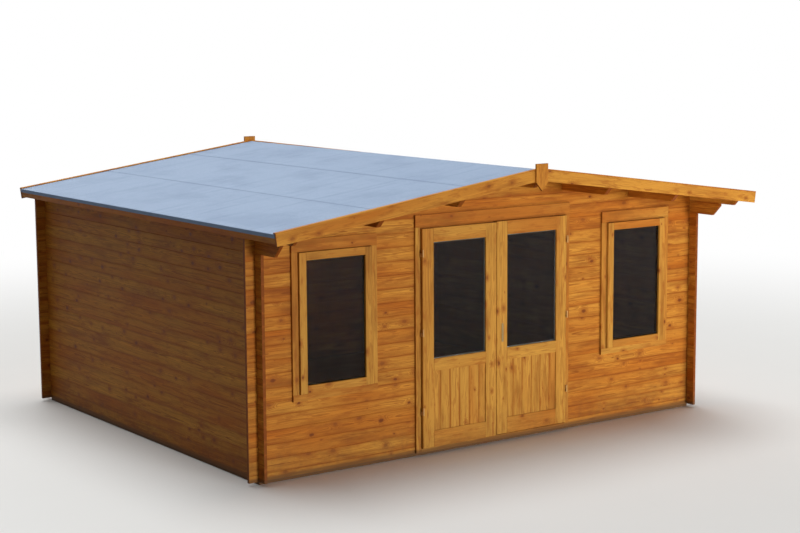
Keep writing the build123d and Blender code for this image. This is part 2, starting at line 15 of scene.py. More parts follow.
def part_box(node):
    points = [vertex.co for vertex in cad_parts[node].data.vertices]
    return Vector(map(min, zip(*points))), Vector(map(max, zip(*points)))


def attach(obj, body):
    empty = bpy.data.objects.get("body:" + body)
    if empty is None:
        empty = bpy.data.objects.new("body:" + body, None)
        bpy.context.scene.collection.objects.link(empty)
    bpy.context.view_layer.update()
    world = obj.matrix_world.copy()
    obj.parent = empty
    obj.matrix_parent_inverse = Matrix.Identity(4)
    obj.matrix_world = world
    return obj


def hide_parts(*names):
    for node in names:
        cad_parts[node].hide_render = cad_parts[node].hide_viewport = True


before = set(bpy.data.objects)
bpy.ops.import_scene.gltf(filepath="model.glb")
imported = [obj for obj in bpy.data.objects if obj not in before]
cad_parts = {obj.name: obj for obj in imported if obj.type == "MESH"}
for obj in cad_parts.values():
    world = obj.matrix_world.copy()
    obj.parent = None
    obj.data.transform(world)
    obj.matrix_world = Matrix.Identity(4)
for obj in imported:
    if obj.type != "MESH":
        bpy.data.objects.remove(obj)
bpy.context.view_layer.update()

bl_info = {
    "name": "Garden shed looks",
    "version": (1, 0, 0),
    "blender": (4, 5, 0),
    "location": "View3D > Sidebar > Shed",
    "description": "Timbers, roofing, glass and ironwork of a garden shed of interlocked logs",
    "category": "Object",
}


# Sizes read from the frame

def edges(node):
    """The six limits of a solid: x0, x1, y0, y1, z0, z1."""
    low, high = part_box(node)
    return low.x, high.x, low.y, high.y, low.z, high.z


WALL_X0, WALL_X1, STUB_Y0, STUB_Y1, BASE_Z, LOWER_TOP = edges("right_wall")
DOORWAY_X, STUB_X, FRONT_Y, FRONT_IN_Y, _, FRONT_TOP = edges("front_wall_right")
WALL, FRONT, BACK = (WALL_X0, WALL_X1), (FRONT_Y, FRONT_IN_Y), edges("back_wall")[2:4]
_, EAVE_X, ROOF_Y0, ROOF_Y1, _, _ = edges("roof_felt_right")
RIDGE_Z = edges("purlins")[5]
LOWER_CORBEL_REACH = 0.380
SIDE_COURSES_BELOW = 16
TOP_COURSES = 2
CROSS_COURSES = SIDE_COURSES_BELOW + TOP_COURSES
LOG_H = (LOWER_TOP - BASE_Z) / SIDE_COURSES_BELOW
LOG_T = WALL_X1 - WALL_X0
SIDE_TOP = LOWER_TOP + TOP_COURSES * LOG_H
RISE = (RIDGE_Z - SIDE_TOP) / WALL_X1
PITCH = atan(RISE)
FELT_ROOM = 0.003
NOTCH = LOG_H / 4
SAME_POINT = 1e-6
ON_THE_LINE = 1e-5
SIDES = ((1, "right"), (-1, "left"))


# What a user can change

def number(name, description, default, **more):
    """A number."""
    return FloatProperty(name=name, description=description, default=default, **more)


def length(name, description, default):
    """A length in metres."""
    return number(name, description, default, min=0.0, unit="LENGTH", precision=4)


def paint(name, description, *screen):
    """A colour, whose default is given as its three numbers 0 to 255 on a screen."""
    value = np.array(screen) / 255
    linear = np.where(value <= 0.04045, value / 12.92, ((value + 0.055) / 1.055) ** 2.4)
    return FloatVectorProperty(
        name=name, description=description, default=tuple(linear), min=0.0, max=1.0,
        subtype="COLOR",
    )


class ShedSizes(bpy.types.PropertyGroup):
    """Sizes of the timbers, felt and glass that the frame doesn't give."""

    joint_v: length("Log joint", "Depth of the V along each joint between logs", 0.0028)
    arris: length("Arris", "Width of the eased edges of planed timber", 0.0015)
    sawn_arris: length("Sawn arris", "Width of the eased edges of logs and sawn timber", 0.001)
    lower_corbel_chamfer: length("Lower corbel", "Slanted foot of the lower corbel", 0.092)
    upper_corbel_chamfer: length("Upper corbel", "Slanted foot of the upper corbel", 0.055)
    purlin_chamfer: length("Purlin foot", "Slanted foot at a purlin's front end", 0.060)
    purlin_depth: length("Purlin depth", "Depth of a purlin below the roof boards", 0.136)
    purlin_width: length("Purlin width", "Width of a purlin", 0.044)
    roof_board_t: length("Roof board", "Thickness of the roof boards", 0.018)
    board_w: length("Board width", "Width that one roof or floor board covers", 0.114)
    board_v: length("Board joint", "Depth of the V between boards", 0.003)
    bearer_w: length("Bearer width", "Width of the bearers and joists", 0.050)
    joists: IntProperty(name="Joists", description="Joists under the floor", default=7, min=0)
    barge_h: length("Barge board", "Height of the barge boards", 0.095)
    cap_w: length("Cap width", "Width of the capping strips", 0.034)
    cap_h: length("Cap height", "Thickness of the capping strips", 0.010)
    eave_trim_h: length("Eave trim", "Height of the trims under the boards' ends", 0.058)
    eave_trim_t: length("Eave trim thickness", "Thickness of the eave trims", 0.020)
    finial_point: length("Finial point", "Height of the point at a finial's foot", 0.072)
    felt_fold: length("Felt fold", "How far the felt hangs below the boards at the eave", 0.012)
    felt_t: length("Felt", "Thickness of one layer of roofing felt", 0.0016)
    felt_strip: length("Felt strip", "Width that one strip of felt covers", 0.92)
    felt_lap: length("Felt lap", "How far a strip lies over the one below it", 0.075)
    felt_wave: length("Felt waves", "Height of the slow waves in the felt", 0.0007)
    frame_t: length("Frame board", "Thickness of the frames' outer and inner boards", 0.020)
    lap: length("Frame lap", "How far the frames' boards lap over the log ends", 0.024)
    stop_lap: length("Stop", "How far the stop reaches behind a leaf or casement", 0.025)
    edge_gap: length("Door gap", "Gap round the door leaves", 0.005)
    casement_gap: length("Casement gap", "Gap round the casements", 0.003)
    casement_bar: length("Casement bar", "Width of a casement's bars", 0.066)
    stile: length("Stile", "Width of a door leaf's stiles", 0.115)
    top_rail: length("Top rail", "Height of a door leaf's top rail", 0.119)
    mid_rail: length("Middle rail", "Height of a door leaf's middle rail", 0.104)
    bottom_rail: length("Bottom rail", "Height of a door leaf's bottom rail", 0.140)
    leaf_pane: length("Door pane", "Height of a door leaf's glazed opening", 0.990)
    meeting_bevel: length("Meeting bevel", "How far the meeting edges lean back", 0.002)
    panel_board_w: length("Panel board", "Width that one board of a door panel covers", 0.103)
    panel_tongue: length("Panel tongue", "How far a panel's boards reach into the frame", 0.010)
    glass_tongue: length("Glass tongue", "How far the glass reaches into the timber", 0.012)
    glass_t: length("Glass", "Thickness of one sheet of glass", 0.004)
    spacer: length("Spacer", "How far the bar between the sheets of glass shows", 0.008)


class ShedColours(bpy.types.PropertyGroup):
    """Colours of the finishes."""

    log_light: paint("Log, light", "Pale wood of the stained logs", 208, 145, 55)
    log_warm: paint("Log, warm", "Redder logs", 182, 102, 26)
    log_dark: paint("Log, grain", "Dark grain of the stained logs", 118, 57, 12)
    joinery_light: paint("Joinery, light", "Pale wood of the frames and leaves", 198, 144, 60)
    joinery_warm: paint("Joinery, warm", "Redder frames and leaves", 178, 106, 34)
    joinery_dark: paint("Joinery, grain", "Dark grain of the frames and leaves", 130, 76, 22)
    board_light: paint("Boards, light", "Pale wood of roof and floor boards", 206, 158, 98)
    board_warm: paint("Boards, warm", "Redder roof and floor boards", 192, 136, 76)
    board_dark: paint("Boards, grain", "Dark grain of roof and floor boards", 150, 98, 52)
    bearer_light: paint("Bearers, light", "Pale part of the treated bearers", 124, 96, 60)
    bearer_warm: paint("Bearers, warm", "Browner bearers", 108, 78, 46)
    bearer_dark: paint("Bearers, grain", "Dark grain of the bearers", 70, 50, 30)
    knot: paint("Knots", "Heart of a knot", 108, 52, 16)
    # Also paints the band beside the joints between logs: gathered stain and painted shade
    knot_ring: paint("Knot rings", "Stained wood round a knot", 148, 80, 24)
    splash: paint("Splashes", "Dirt splashed up the lowest timbers", 92, 62, 36)
    # The joint colour is dirt and painted shade at the bottom of the V grooves
    joint: paint("Joints", "Bottom of the joints between logs and boards", 104, 48, 14)
    felt: paint("Felt", "Mineral felt on the roof", 152, 172, 198)
    # The dark felt also paints the shade on the fold under the eave and under each lap's step
    felt_dark: paint("Felt, dark", "Darker grains and edges of the felt", 98, 120, 154)
    zinc: paint("Zinc", "Yellow zinc of the lock plate", 146, 122, 76)
    # The hinges' zinc is the yellow zinc painted brighter: a painted highlight against the shade of
    # the gap they sit in
    hinge: paint("Hinges", "Brighter zinc of the hinges", 190, 144, 82)
    spacer: paint("Spacer", "Bars between the sheets of glass", 118, 122, 116)
    glass: paint("Glass", "Tint of the glass", 214, 204, 198)
    floor: paint("Floor", "Studio floor", 226, 226, 224)


class ShedStudio(bpy.types.PropertyGroup):
    """Camera and lights."""

    camera_x: number("Camera X", "Place of the camera along X", -9.1369, unit="LENGTH")
    camera_y: number("Camera Y", "Place of the camera along Y", -13.0920, unit="LENGTH")
    camera_z: number("Camera Z", "Height of the camera", 3.5954, unit="LENGTH")
    yaw: number("Yaw", "From +Y towards +X", radians(35.6132), subtype="ANGLE")
    tilt: number("Tilt", "Up from level", radians(-7.9884), subtype="ANGLE")
    roll: number("Roll", "Turn about the line of sight", radians(-0.3561), subtype="ANGLE")
    lens: number("Lens", "Focal length in millimetres", 76.978)
    key: number("Key light", "Strength of the soft front light", 1.95)
    bounce: number("Bounce light", "Strength of the soft light from low in front", 0.85)
    low: number("Low light", "Power of the lamp below the floor by the right corner", 135.0)
    eaves: number("Eaves light", "Power of the lamp that shines up under the right eave", 17.0)
    top: number("Top light", "Strength of the soft light from above", 2.3)
    back: number("Back light", "Strength of the soft light from behind", 1.2)
    fill: number("Fill", "Strength of the light from all round", 0.12)


def sizes():
    return bpy.context.scene.shed_sizes


def colours():
    return bpy.context.scene.shed_colours


# Node trees

class Tree:
    """A node tree that is being filled. A node's inputs are set or linked as it is added."""

    def __init__(self, tree):
        self.tree = tree

    def node(self, kind, inputs=(), **settings):
        """One shader node, with its settings and its inputs, which are named or numbered."""
        made = self.tree.nodes.new(f"ShaderNode{kind}")
        for name, value in settings.items():
            setattr(made, name, value)
        self.fill(made, inputs)
        return made

    def fill(self, node, inputs):
        """Sets or links a node's inputs. A colour gets its alpha here."""
        for key, value in dict(inputs).items():
            socket = node.inputs[key]
            if isinstance(value, bpy.types.NodeSocket):
                self.tree.links.new(value, socket)
            else:
                socket.default_value = (*value, 1.0) if socket.type == "RGBA" else value

    def math(self, operation, *values):
        """The result of a sum on one, two or three values."""
        return self.node("Math", enumerate(values), operation=operation).outputs[0]

    def times(self, first, second):
        """One value times another."""
        return self.math("MULTIPLY", first, second)

    def plus(self, value, *others):
        """A value with others added, each given with the factor that it is added by."""
        for other, factor in others:
            value = self.math("MULTIPLY_ADD", other, factor, value)
        return value

    def ramp(self, value, start, end, low=0.0, high=1.0):
        """A value eased from low to high as it goes from start to end."""
        return self.node(
            "MapRange", enumerate((value, start, end, low, high)),
            interpolation_type="SMOOTHSTEP",
        ).outputs[0]

    def coats(self, colour, *coats):
        """A colour under coats of others, each given as the share that covers and its colour."""
        for share, coat in coats:
            colour = self.node(
                "Mix", {0: share, 6: colour, 7: coat}, data_type="RGBA",
            ).outputs[2]
        return colour

    def noise(self, place, rate, detail=2.0, roughness=0.5):
        """Soft noise from 0 to 1, with so many lumps a metre along all axes or along each."""
        rates = rate if isinstance(rate, tuple) else (rate, rate, rate)
        place = self.node("VectorMath", {0: place, 1: rates}, operation="MULTIPLY").outputs[0]
        return self.node(
            "TexNoise", {"Vector": place, "Scale": 1.0, "Detail": detail, "Roughness": roughness},
        ).outputs[0]

    def wobble(self, place, rate, detail=2.0):
        """Soft noise from -0.5 to 0.5."""
        return self.math("SUBTRACT", self.noise(place, rate, detail), 0.5)

    def split(self, vector):
        """The three parts of a vector."""
        return self.node("SeparateXYZ", {0: vector}).outputs[:3]

    def carried(self, name, output="Fac"):
        """What the mesh carries under this name."""
        return self.node("Attribute", attribute_name=name).outputs[output]

    def spot(self):
        """The place on the object."""
        return self.node("TexCoord").outputs["Object"]

    def group(self, name, look, given):
        """The outputs of a shader group with these inputs; it is made when it is first used.

        look takes the group's tree and its inputs, and gives its outputs.
        """
        if name not in bpy.data.node_groups:
            made = bpy.data.node_groups.new(name, "ShaderNodeTree")
            inside = Tree(made)
            new_sockets(made, "INPUT", given)
            outputs = look(inside, made.nodes.new("NodeGroupInput").outputs)
            new_sockets(made, "OUTPUT", outputs)
            inside.fill(made.nodes.new("NodeGroupOutput"), outputs)
        return self.node("Group", given, node_tree=bpy.data.node_groups[name]).outputs

    def bump(self, height, strength, distance):
        """The normal of a surface with this height."""
        return self.node(
            "Bump", {"Strength": strength, "Distance": distance, "Height": height},
        ).outputs[0]


def new_sockets(group, direction, values):
    """Gives a shader group a socket for each value, of the value's kind."""
    kinds = {"VALUE": "Float", "VECTOR": "Vector", "RGBA": "Color"}
    for name, value in values.items():
        kind = "Float" if isinstance(value, float) else "Color"
        if isinstance(value, bpy.types.NodeSocket):
            kind = kinds[value.type]
        group.interface.new_socket(
            name=name, in_out=direction, socket_type=f"NodeSocket{kind}",
        )


def material(name, look, *values):
    """The material of this name, made when it is first asked for.

    look takes the tree and the values, and gives the inputs of the Principled shader.
    """
    if name in bpy.data.materials:
        return bpy.data.materials[name]
    made = bpy.data.materials.new(name)
    made.use_nodes = True
    made.node_tree.nodes.clear()
    tree = Tree(made.node_tree)
    shader = tree.node("BsdfPrincipled", look(tree, *values))
    tree.node("OutputMaterial", {"Surface": shader.outputs[0]})
    return made


def pine_group(tree, given):
    """Sawn and stained pine from its place in the plank.

    Rings are circles about the pith, wandering with slow noise and swelling round the knots. Knots
    are cells of a random pattern on the plank's length and width, each with its own size.
    """
    place = given["Place"]
    along, through, across = tree.split(place)

    knot_cell, stretch = 0.150, 1.6
    flat = tree.node("CombineXYZ", {
        0: tree.math("DIVIDE", along, knot_cell * stretch),
        1: tree.math("DIVIDE", across, knot_cell),
    }).outputs[0]
    cells = tree.node(
        "TexVoronoi", {"Vector": flat, "Scale": 1.0, "Randomness": 0.95},
        voronoi_dimensions="2D",
    ).outputs
    chance, boldness, _ = tree.split(cells["Color"])
    ragged = tree.times(tree.wobble(place, 55, 3.0), 0.016)
    from_knot = tree.plus(ragged, (cells["Distance"], knot_cell))
    radius = tree.times(tree.ramp(chance, 0.28, 1.0, 0.02, 1.0), given["Knot radius"])
    knot_ratio = tree.math("DIVIDE", from_knot, radius)
    core = tree.ramp(knot_ratio, 1.25, 0.55)
    swell = tree.ramp(knot_ratio, 3.6, 0.9)

    ring_width = 0.0046
    from_pith = tree.math("SQRT", tree.plus(tree.times(across, across), (through, through)))
    ring = tree.plus(
        from_pith, (tree.wobble(place, (1.1, 8, 8)), 0.034),
        (tree.wobble(place, (6, 45, 45)), 0.004), (swell, 0.010),
    )
    phase = tree.math("FRACT", tree.math("DIVIDE", ring, ring_width))
    late = tree.times(tree.ramp(phase, 0.35, 0.90), tree.ramp(phase, 1.0, 0.92))
    fibre = tree.noise(place, (6, 240, 240), 3.0, 0.65)
    streak = tree.noise(place, (1.6, 38, 38), 3.0, 0.6)
    cloud = tree.noise(place, (1.6, 9, 9), 4.0, 0.6)
    patches = tree.noise(place, (7, 30, 30), 3.0, 0.6)
    warmth = tree.plus(given["Tint"], (tree.wobble(place, (0.9, 5, 5)), 1.8))
    grained = tree.plus(
        tree.ramp(fibre, 0.35, 0.75, 0.0, 0.30), (late, 0.42),
        (tree.ramp(streak, 0.42, 0.72), 0.34),
    )
    # A darker band beside each joint between logs, broken into patches: stain gathered there and
    # painted shade of the eased log edges
    patchy_joints = tree.ramp(tree.noise(place, (2.6, 30, 30), 3.0), 0.36, 0.64, 0.12, 0.90)
    joint_shade_band = tree.times(tree.ramp(given["Beside"], 0.62, 1.0, 0.0, 0.95), patchy_joints)

    dark, stain_and_joint_shade = given["Dark"], given["Knot ring"]
    colour = tree.coats(
        given["Light"],
        (tree.ramp(warmth, 0.0, 1.0), given["Warm"]),
        (tree.times(grained, given["Grain"]), dark),
        (tree.ramp(cloud, 0.50, 0.72, 0.0, 0.62), dark),
        (tree.ramp(patches, 0.52, 0.68, 0.0, 0.52), stain_and_joint_shade),
        (tree.ramp(knot_ratio, 3.2, 0.9, 0.0, 0.60), stain_and_joint_shade),
        (tree.times(core, tree.ramp(boldness, 0.0, 1.0, 0.40, 0.95)), given["Knot"]),
        # End grain soaks up more stain and shows darker; the large share also paints shade on the
        # slanted feet of purlins and corbels
        (tree.times(given["End"], 0.92), dark),
        # Painted shade and gathered stain beside the joints
        (joint_shade_band, stain_and_joint_shade),
        # Dirt and painted shade at the bottom of the V grooves
        (tree.times(tree.times(given["Joint"], patchy_joints), 0.30), given["Joint colour"]),
    )
    gloss = tree.plus(0.50, (fibre, 0.16), (core, -0.10))
    relief = tree.plus(0.0, (fibre, 0.55), (late, 0.35), (core, 0.35))
    return {"Colour": colour, "Roughness": gloss, "Height": relief}


def splash_group(tree, given):
    """Dirt splashed up the wood: a ragged band that thins out with height.

    Under it the lowest few centimetres are darker.
    """
    spot = given["Spot"]
    height = tree.split(spot)[2]
    ragged = tree.plus(height, (tree.noise(spot, 5, 4.0), 0.40))
    band = tree.ramp(tree.math("DIVIDE", ragged, given["Top"]), 1.30, 0.35)
    splashes = tree.ramp(tree.noise(spot, 26, 3.0), 0.30, 0.72, 0.45, 1.0)
    foot = tree.ramp(tree.plus(height, (ragged, 0.05)), 0.095, 0.055, 0.0, 0.80)
    amount = tree.math("MAXIMUM", tree.times(tree.times(band, splashes), given["Amount"]), foot)
    return {"Colour": tree.coats(given["Under"], (amount, given["Dirt"]))}


# Finishes: each gives the inputs of its Principled shader

def pine(tree, wood, knot_radius, grain, splash):
    """Pine in the three colours of a wood, dirtied near its foot by the amount of splash."""
    paints = colours()
    look = tree.group("Pine", pine_group, {
        "Place": tree.carried("wood_place", "Vector"), "Tint": tree.carried("tint"),
        "End": tree.carried("end_grain"), "Joint": tree.carried("joint"),
        "Beside": tree.math("ABSOLUTE", tree.carried("across_face")),
        "Light": getattr(paints, f"{wood}_light"), "Warm": getattr(paints, f"{wood}_warm"),
        "Dark": getattr(paints, f"{wood}_dark"), "Joint colour": paints.joint,
        "Knot": paints.knot, "Knot ring": paints.knot_ring,
        "Knot radius": knot_radius, "Grain": grain,
    })
    colour = look["Colour"]
    if splash:
        colour = tree.group("Splash", splash_group, {
            "Spot": tree.spot(), "Under": colour, "Dirt": paints.splash, "Amount": splash,
            "Top": 0.45,
        })["Colour"]
    return {
        "Base Color": colour, "Roughness": look["Roughness"], "Specular IOR Level": 0.12,
        "Normal": tree.bump(look["Height"], 0.6, 0.0008),
    }


def felt(tree):
    """Mineral felt: grains of two tones, faint streaks down the slope, dark laps, painted shade on
    the fold.
    """
    paints = colours()
    spot = tree.spot()
    grains = tree.node(
        "TexVoronoi", {"Vector": spot, "Scale": 420.0, "Randomness": 1.0},
    ).outputs
    tone = tree.split(grains["Color"])[0]
    cloud = tree.noise(spot, (2.2, 1.4, 2.2), 4.0, 0.6)
    streaks = tree.noise(spot, (1.2, 16, 1.2), 3.0, 0.6)
    strip = tree.math("FLOOR", tree.math("DIVIDE", tree.carried("down"), sizes().felt_strip))
    strip_tone = tree.noise(tree.node("CombineXYZ", {0: strip, 1: 7.3}).outputs[0], 1, 0.0)
    darks = (
        tree.ramp(tone, 0.55, 1.0, 0.0, 0.38), tree.ramp(cloud, 0.42, 0.75, 0.0, 0.30),
        tree.ramp(streaks, 0.50, 0.80, 0.0, 0.30), tree.ramp(strip_tone, 0.3, 0.7, 0.0, 0.10),
        # Lap lines, a bitumen bead with painted shade under the step, and painted shade on the fold
        tree.carried("dark_edge"),
    )
    return {
        "Base Color": tree.coats(paints.felt, *((dark, paints.felt_dark) for dark in darks)),
        "Roughness": tree.plus(0.72, (tone, 0.20)),
        "Normal": tree.bump(tree.plus(grains["Distance"], (cloud, 2.0)), 0.5, 0.0008),
    }


def metal(tree, colour, metallic, roughness, speckle):
    """Metal or painted metal with faint blotches in tone and gloss."""
    tone = getattr(colours(), colour)
    darker = [0.45 * part for part in tone]
    blotch = tree.noise(tree.spot(), 90, 4.0, 0.6)
    return {
        "Base Color": tree.coats(tone, (tree.ramp(blotch, 0.40, 0.80, 0.0, speckle), darker)),
        "Roughness": tree.ramp(blotch, 0.2, 0.8, roughness - 0.08, roughness + 0.12),
        "Normal": tree.bump(blotch, 0.4, 0.0002), "Metallic": metallic,
    }


def glass(tree):
    """Clear glass with faint smears."""
    tint = colours().glass
    pale = [min(1.0, 1.06 * part) for part in tint]
    smear = tree.noise(tree.spot(), (9, 9, 3), 4.0, 0.6)
    return {
        "Base Color": tree.coats(tint, (tree.ramp(smear, 0.3, 0.7), pale)),
        "Roughness": tree.ramp(smear, 0.45, 0.85, 0.0, 0.05),
        "Transmission Weight": 1.0, "IOR": 1.18, "Specular IOR Level": 0.07,
    }


# Each finish with its slot, what makes it, and the values that this takes: for pine its wood, the
# radius of its largest knots, the strength of its grain and its splashes; for metal its colour,
# metallic, roughness and speckle
FINISHES = {
    "Stained logs": ("stained_logs", pine, "log", 0.017, 1.0, 0.45),
    "Joinery pine": ("joinery_pine", pine, "joinery", 0.013, 0.80, 0.30),
    "Roof edge pine": ("joinery_pine", pine, "log", 0.013, 0.65, 0.0),
    "Plain boards": ("plain_boards", pine, "board", 0.012, 1.0, 0.0),
    "Treated timber": ("treated_timber", pine, "bearer", 0.014, 1.0, 0.4),
    "Spacer bars": ("zinc_steel", metal, "spacer", 0.0, 0.5, 0.3),
    "Roofing felt": ("roof_felt", felt),
}


def dress(name, points, faces, carried, finish, body, nodes):
    """A piece on a body in place of the nodes: its mesh, what this carries, and its finish.

    carried gives a value, or a place, for each of the mesh's points or corners.
    """
    slot, look, *values = FINISHES[finish]
    mesh = bpy.data.meshes.new(name)
    mesh.from_pydata(points.tolist(), [], faces)
    for key, domain, given in carried:
        given = np.asarray(given, np.float32)
        kind, field = ("FLOAT_VECTOR", "vector") if given.ndim == 2 else ("FLOAT", "value")
        mesh.attributes.new(key, kind, domain).data.foreach_set(field, given.ravel())
    mesh.update()
    mesh.materials.append(material(finish, look, *values))
    made = bpy.data.objects.new(name, mesh)
    bpy.context.scene.collection.objects.link(made)
    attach(made, body)
    if nodes:
        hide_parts(*nodes)


# Timbers

X, Y, Z = (1, 0, 0), (0, 1, 0), (0, 0, 1)
DOWN, OUT = (cos(PITCH), 0, -sin(PITCH)), (sin(PITCH), 0, cos(PITCH))
ALONG_X, ALONG_Y, FLAT, UPRIGHT = (X, Z), (Y, Z), (X, Y), (Z, X)
EDGE_BOARD, SLOPE_BOARD, EAVE_BOARD = (DOWN, OUT), (DOWN, Y), (Y, OUT)
RIDGE = (0, 0, RIDGE_Z)
THINNEST = 0.002
# Where a timber was sawn: how far beside it the pith lies, at least and at most, how far the pith
# strays to either side of its middle, and the length of the wood that all of them come from
PITH_NEAR, PITH_FAR, PITH_ASIDE, TRUNK = 0.030, 0.075, 0.040, 40
# How red one timber is: its middle, its spread, and the shape of the draw
MEAN_TINT, TINT_SPREAD, TINT_SHAPE = 0.45, 0.5, (2.0, 2.4)


def roof_z(x):
    """Height of the roof boards' underside above x."""
    return RIDGE_Z - abs(x) * RISE


def facing(limits):
    """Depth between two places along Y, for a lay whose third direction is towards the front."""
    return -limits[1], -limits[0]


def tidy(outline):
    """An outline without repeated points and without points in the middle of a straight edge."""
    for _ in range(2):
        ahead = np.roll(outline, -1, 0) - outline
        outline = outline[np.linalg.norm(ahead, axis=1) > SAME_POINT]
        ahead = np.roll(outline, -1, 0) - outline
        behind = np.roll(ahead, 1, 0)
        turn = behind[:, 0] * ahead[:, 1] - behind[:, 1] * ahead[:, 0]
        lengths = np.linalg.norm(ahead, axis=1) * np.linalg.norm(behind, axis=1)
        outline = outline[np.abs(turn) > SAME_POINT * lengths]
    return outline


def stretches(breaks, lower, upper):
    """Outlines of what stands between a lower and an upper limit, as a timber is cut to length.

    Both limits are functions of a place and of the middle of its stretch between two breaks, so a
    notch is a stretch with limits of its own. Where a limit leaves nothing, the timber is in two.
    """
    breaks = np.unique(np.round(breaks, 7))
    ends = np.stack([breaks[:-1], breaks[1:]], 1)
    middle = ends.mean(1, keepdims=True) + 0 * ends
    low, high = lower(ends, middle), upper(ends, middle)
    stands = (high - low).max(1) > THINNEST
    changes = np.flatnonzero(np.diff(np.concatenate([[False], stands, [False]]).astype(int)))
    outlines = []
    for first, last in changes.reshape(-1, 2):
        foot, head = (
            np.stack([ends[first:last].ravel(), limit[first:last].ravel()], 1)
            for limit in (low, high)
        )
        outlines.append(tidy(np.concatenate([foot, head[::-1]])))
    return outlines


def side_by_side(start, end, width):
    """Limits of boards of one width laid side by side, the last of them cut to fit."""
    count = int(np.ceil((end - start) / width))
    steps = np.minimum(start + width * np.arange(count + 1), end)
    return zip(steps[:-1], steps[1:])


class Timbers:
    """Timbers of one piece, gathered in a with block, at whose end they become its mesh.

    The piece has a name, a finish, the body that it rides on and the nodes that it stands for. On
    side -1 all of it is turned over to the other side of the shed.
    """

    def __init__(self, name, finish, body, *nodes, side=1, warmth=0.0, joint_strength=1.0):
        self.name, self.place_on = name, (finish, body, nodes)
        self.side, self.warmth, self.joint_strength = side, warmth, joint_strength
        self.random = np.random.default_rng(zlib.crc32(name.encode()))
        self.points, self.places, self.tints, self.across = [], [], [], []
        self.faces, self.end_grain, self.joints = [], [], []
        self.count = 0

    def __enter__(self):
        return self

    def __exit__(self, failed, *_):
        if failed:
            return
        carried = (
            ("wood_place", "POINT", self.places), ("tint", "POINT", self.tints),
            ("across_face", "POINT", self.across), ("end_grain", "CORNER", self.end_grain),
            ("joint", "CORNER", self.joints),
        )
        carried = [(key, domain, np.concatenate(values)) for key, domain, values in carried]
        dress(self.name, np.concatenate(self.points), self.faces, carried, *self.place_on)

    def add(
        self, outline, lay, depth, arris, origin=(0, 0, 0), joints=(), joint_v=0.0, shape=None,
        grain=0, warmer=0.0,
    ):
        """One timber: an anticlockwise outline carried through the thickness.

        The lay is two directions, the outline's own, and the depth is measured square to both.
        At each face the outline is drawn in by the arris, or by joint_v along an edge that lies
        on one of the joints, so the long edges come out chamfered. shape may bend the finished
        points. grain says which of the lay's two directions the wood runs in.
        """
        outline = np.asarray(outline, float)
        ahead = np.roll(outline, -1, 0) - outline
        lengths = np.linalg.norm(ahead, axis=1, keepdims=True)
        inward = np.stack([-ahead[:, 1], ahead[:, 0]], 1) / lengths
        both = np.stack([outline[:, 1], np.roll(outline[:, 1], -1)], 1)[:, :, None]
        on_joint = (np.abs(both - np.array(joints, float)) < ON_THE_LINE).all(1).any(1)
        cut = np.where(on_joint, max(joint_v, arris), arris)

        levels = np.unique(np.append(cut, 0.0))
        drawn = np.clip(cut[None, :] - levels[:, None], 0, None)
        solve = np.linalg.pinv(np.stack([np.roll(inward, 1, 0), inward], 1))
        wanted = np.stack([np.roll(drawn, 1, 1), drawn], 2)
        flat = outline + np.einsum("pij,lpj->lpi", solve, wanted)
        flat = np.concatenate([flat, flat[::-1]])
        rise = np.concatenate([depth[0] + levels, depth[1] - levels[::-1]])

        rings, around = len(rise), len(outline)
        rise = np.broadcast_to(rise[:, None, None], (rings, around, 1))
        local = np.concatenate([flat, rise], 2).reshape(-1, 3)
        first, second = (np.array(axis, float) for axis in lay)
        world = np.array(origin, float) + local @ np.stack([first, second, np.cross(first, second)])
        if shape:
            world = shape(world)
        world[:, 0] *= self.side

        low, high = outline[:, 1].min(), outline[:, 1].max()
        own = [joint for joint in joints if low - ON_THE_LINE < joint < high + ON_THE_LINE]
        across = np.zeros(len(world))
        if own:
            start = own[0] if len(own) > 1 else low + high - own[0]
            half_width = (own[-1] - start) / 2
            across = (local[:, 1] - start - half_width) / half_width
            if len(own) == 1:
                across = np.maximum(across, 0)

        trunk, out, aside = self.random.uniform(-1, 1, 3)
        place = local[:, ((0, 2, 1), (1, 2, 0))[grain]]
        pith = (place.min(0) + place.max(0)) / 2 * (0, 1, 1)
        pith += (TRUNK * trunk, PITH_NEAR + (PITH_FAR - PITH_NEAR) * abs(out), PITH_ASIDE * aside)
        tint = MEAN_TINT + TINT_SPREAD * (self.random.beta(*TINT_SHAPE) - MEAN_TINT)
        self.points.append(world)
        self.places.append(place - pith)
        self.tints.append(np.full(len(world), tint + self.warmth + warmer))
        self.across.append(across)

        index = np.arange(rings * around).reshape(rings, around)
        after = np.roll(index, -1, 1)
        quads = np.stack([index[:-1], after[:-1], after[1:], index[1:]], 2)
        crosses_grain = 2 * np.abs(ahead[:, 1 - grain]) > np.abs(ahead[:, grain])
        end = np.broadcast_to(crosses_grain[None, :, None], quads.shape).astype(float)
        whole = (drawn == 0).astype(float)
        whole = np.concatenate([whole, whole[::-1]])
        corner = np.stack([whole[:-1], whole[:-1], whole[1:], whole[1:]], 2)
        # joint marks the V faces, which the joint colour darkens with dirt and painted shade
        joint = corner * on_joint[None, :, None] * self.joint_strength
        caps = [index[0][::-1], index[-1]]
        if self.side < 0:
            quads, end, joint = (values[:, :, ::-1] for values in (quads, end, joint))
            caps = [cap[::-1] for cap in caps]
        self.faces += (quads.reshape(-1, 4) + self.count).tolist()
        self.faces += [(cap + self.count).tolist() for cap in caps]
        self.end_grain += [end.ravel(), np.zeros(2 * around)]
        self.joints += [joint.ravel(), np.zeros(2 * around)]
        self.count += len(world)

    def bar(self, lay, along, width, depth, arris, **more):
        """A plain rectangular timber: its limits along the grain, across it and through it."""
        (x0, x1), (y0, y1) = along, width
        self.add([(x0, y0), (x1, y0), (x1, y1), (x0, y1)], lay, depth, arris, **more)


def within(places, *ranges):
    """True where a place is inside one of the ranges."""
    return np.any([(places > low) & (places < high) for low, high in ranges], axis=0)


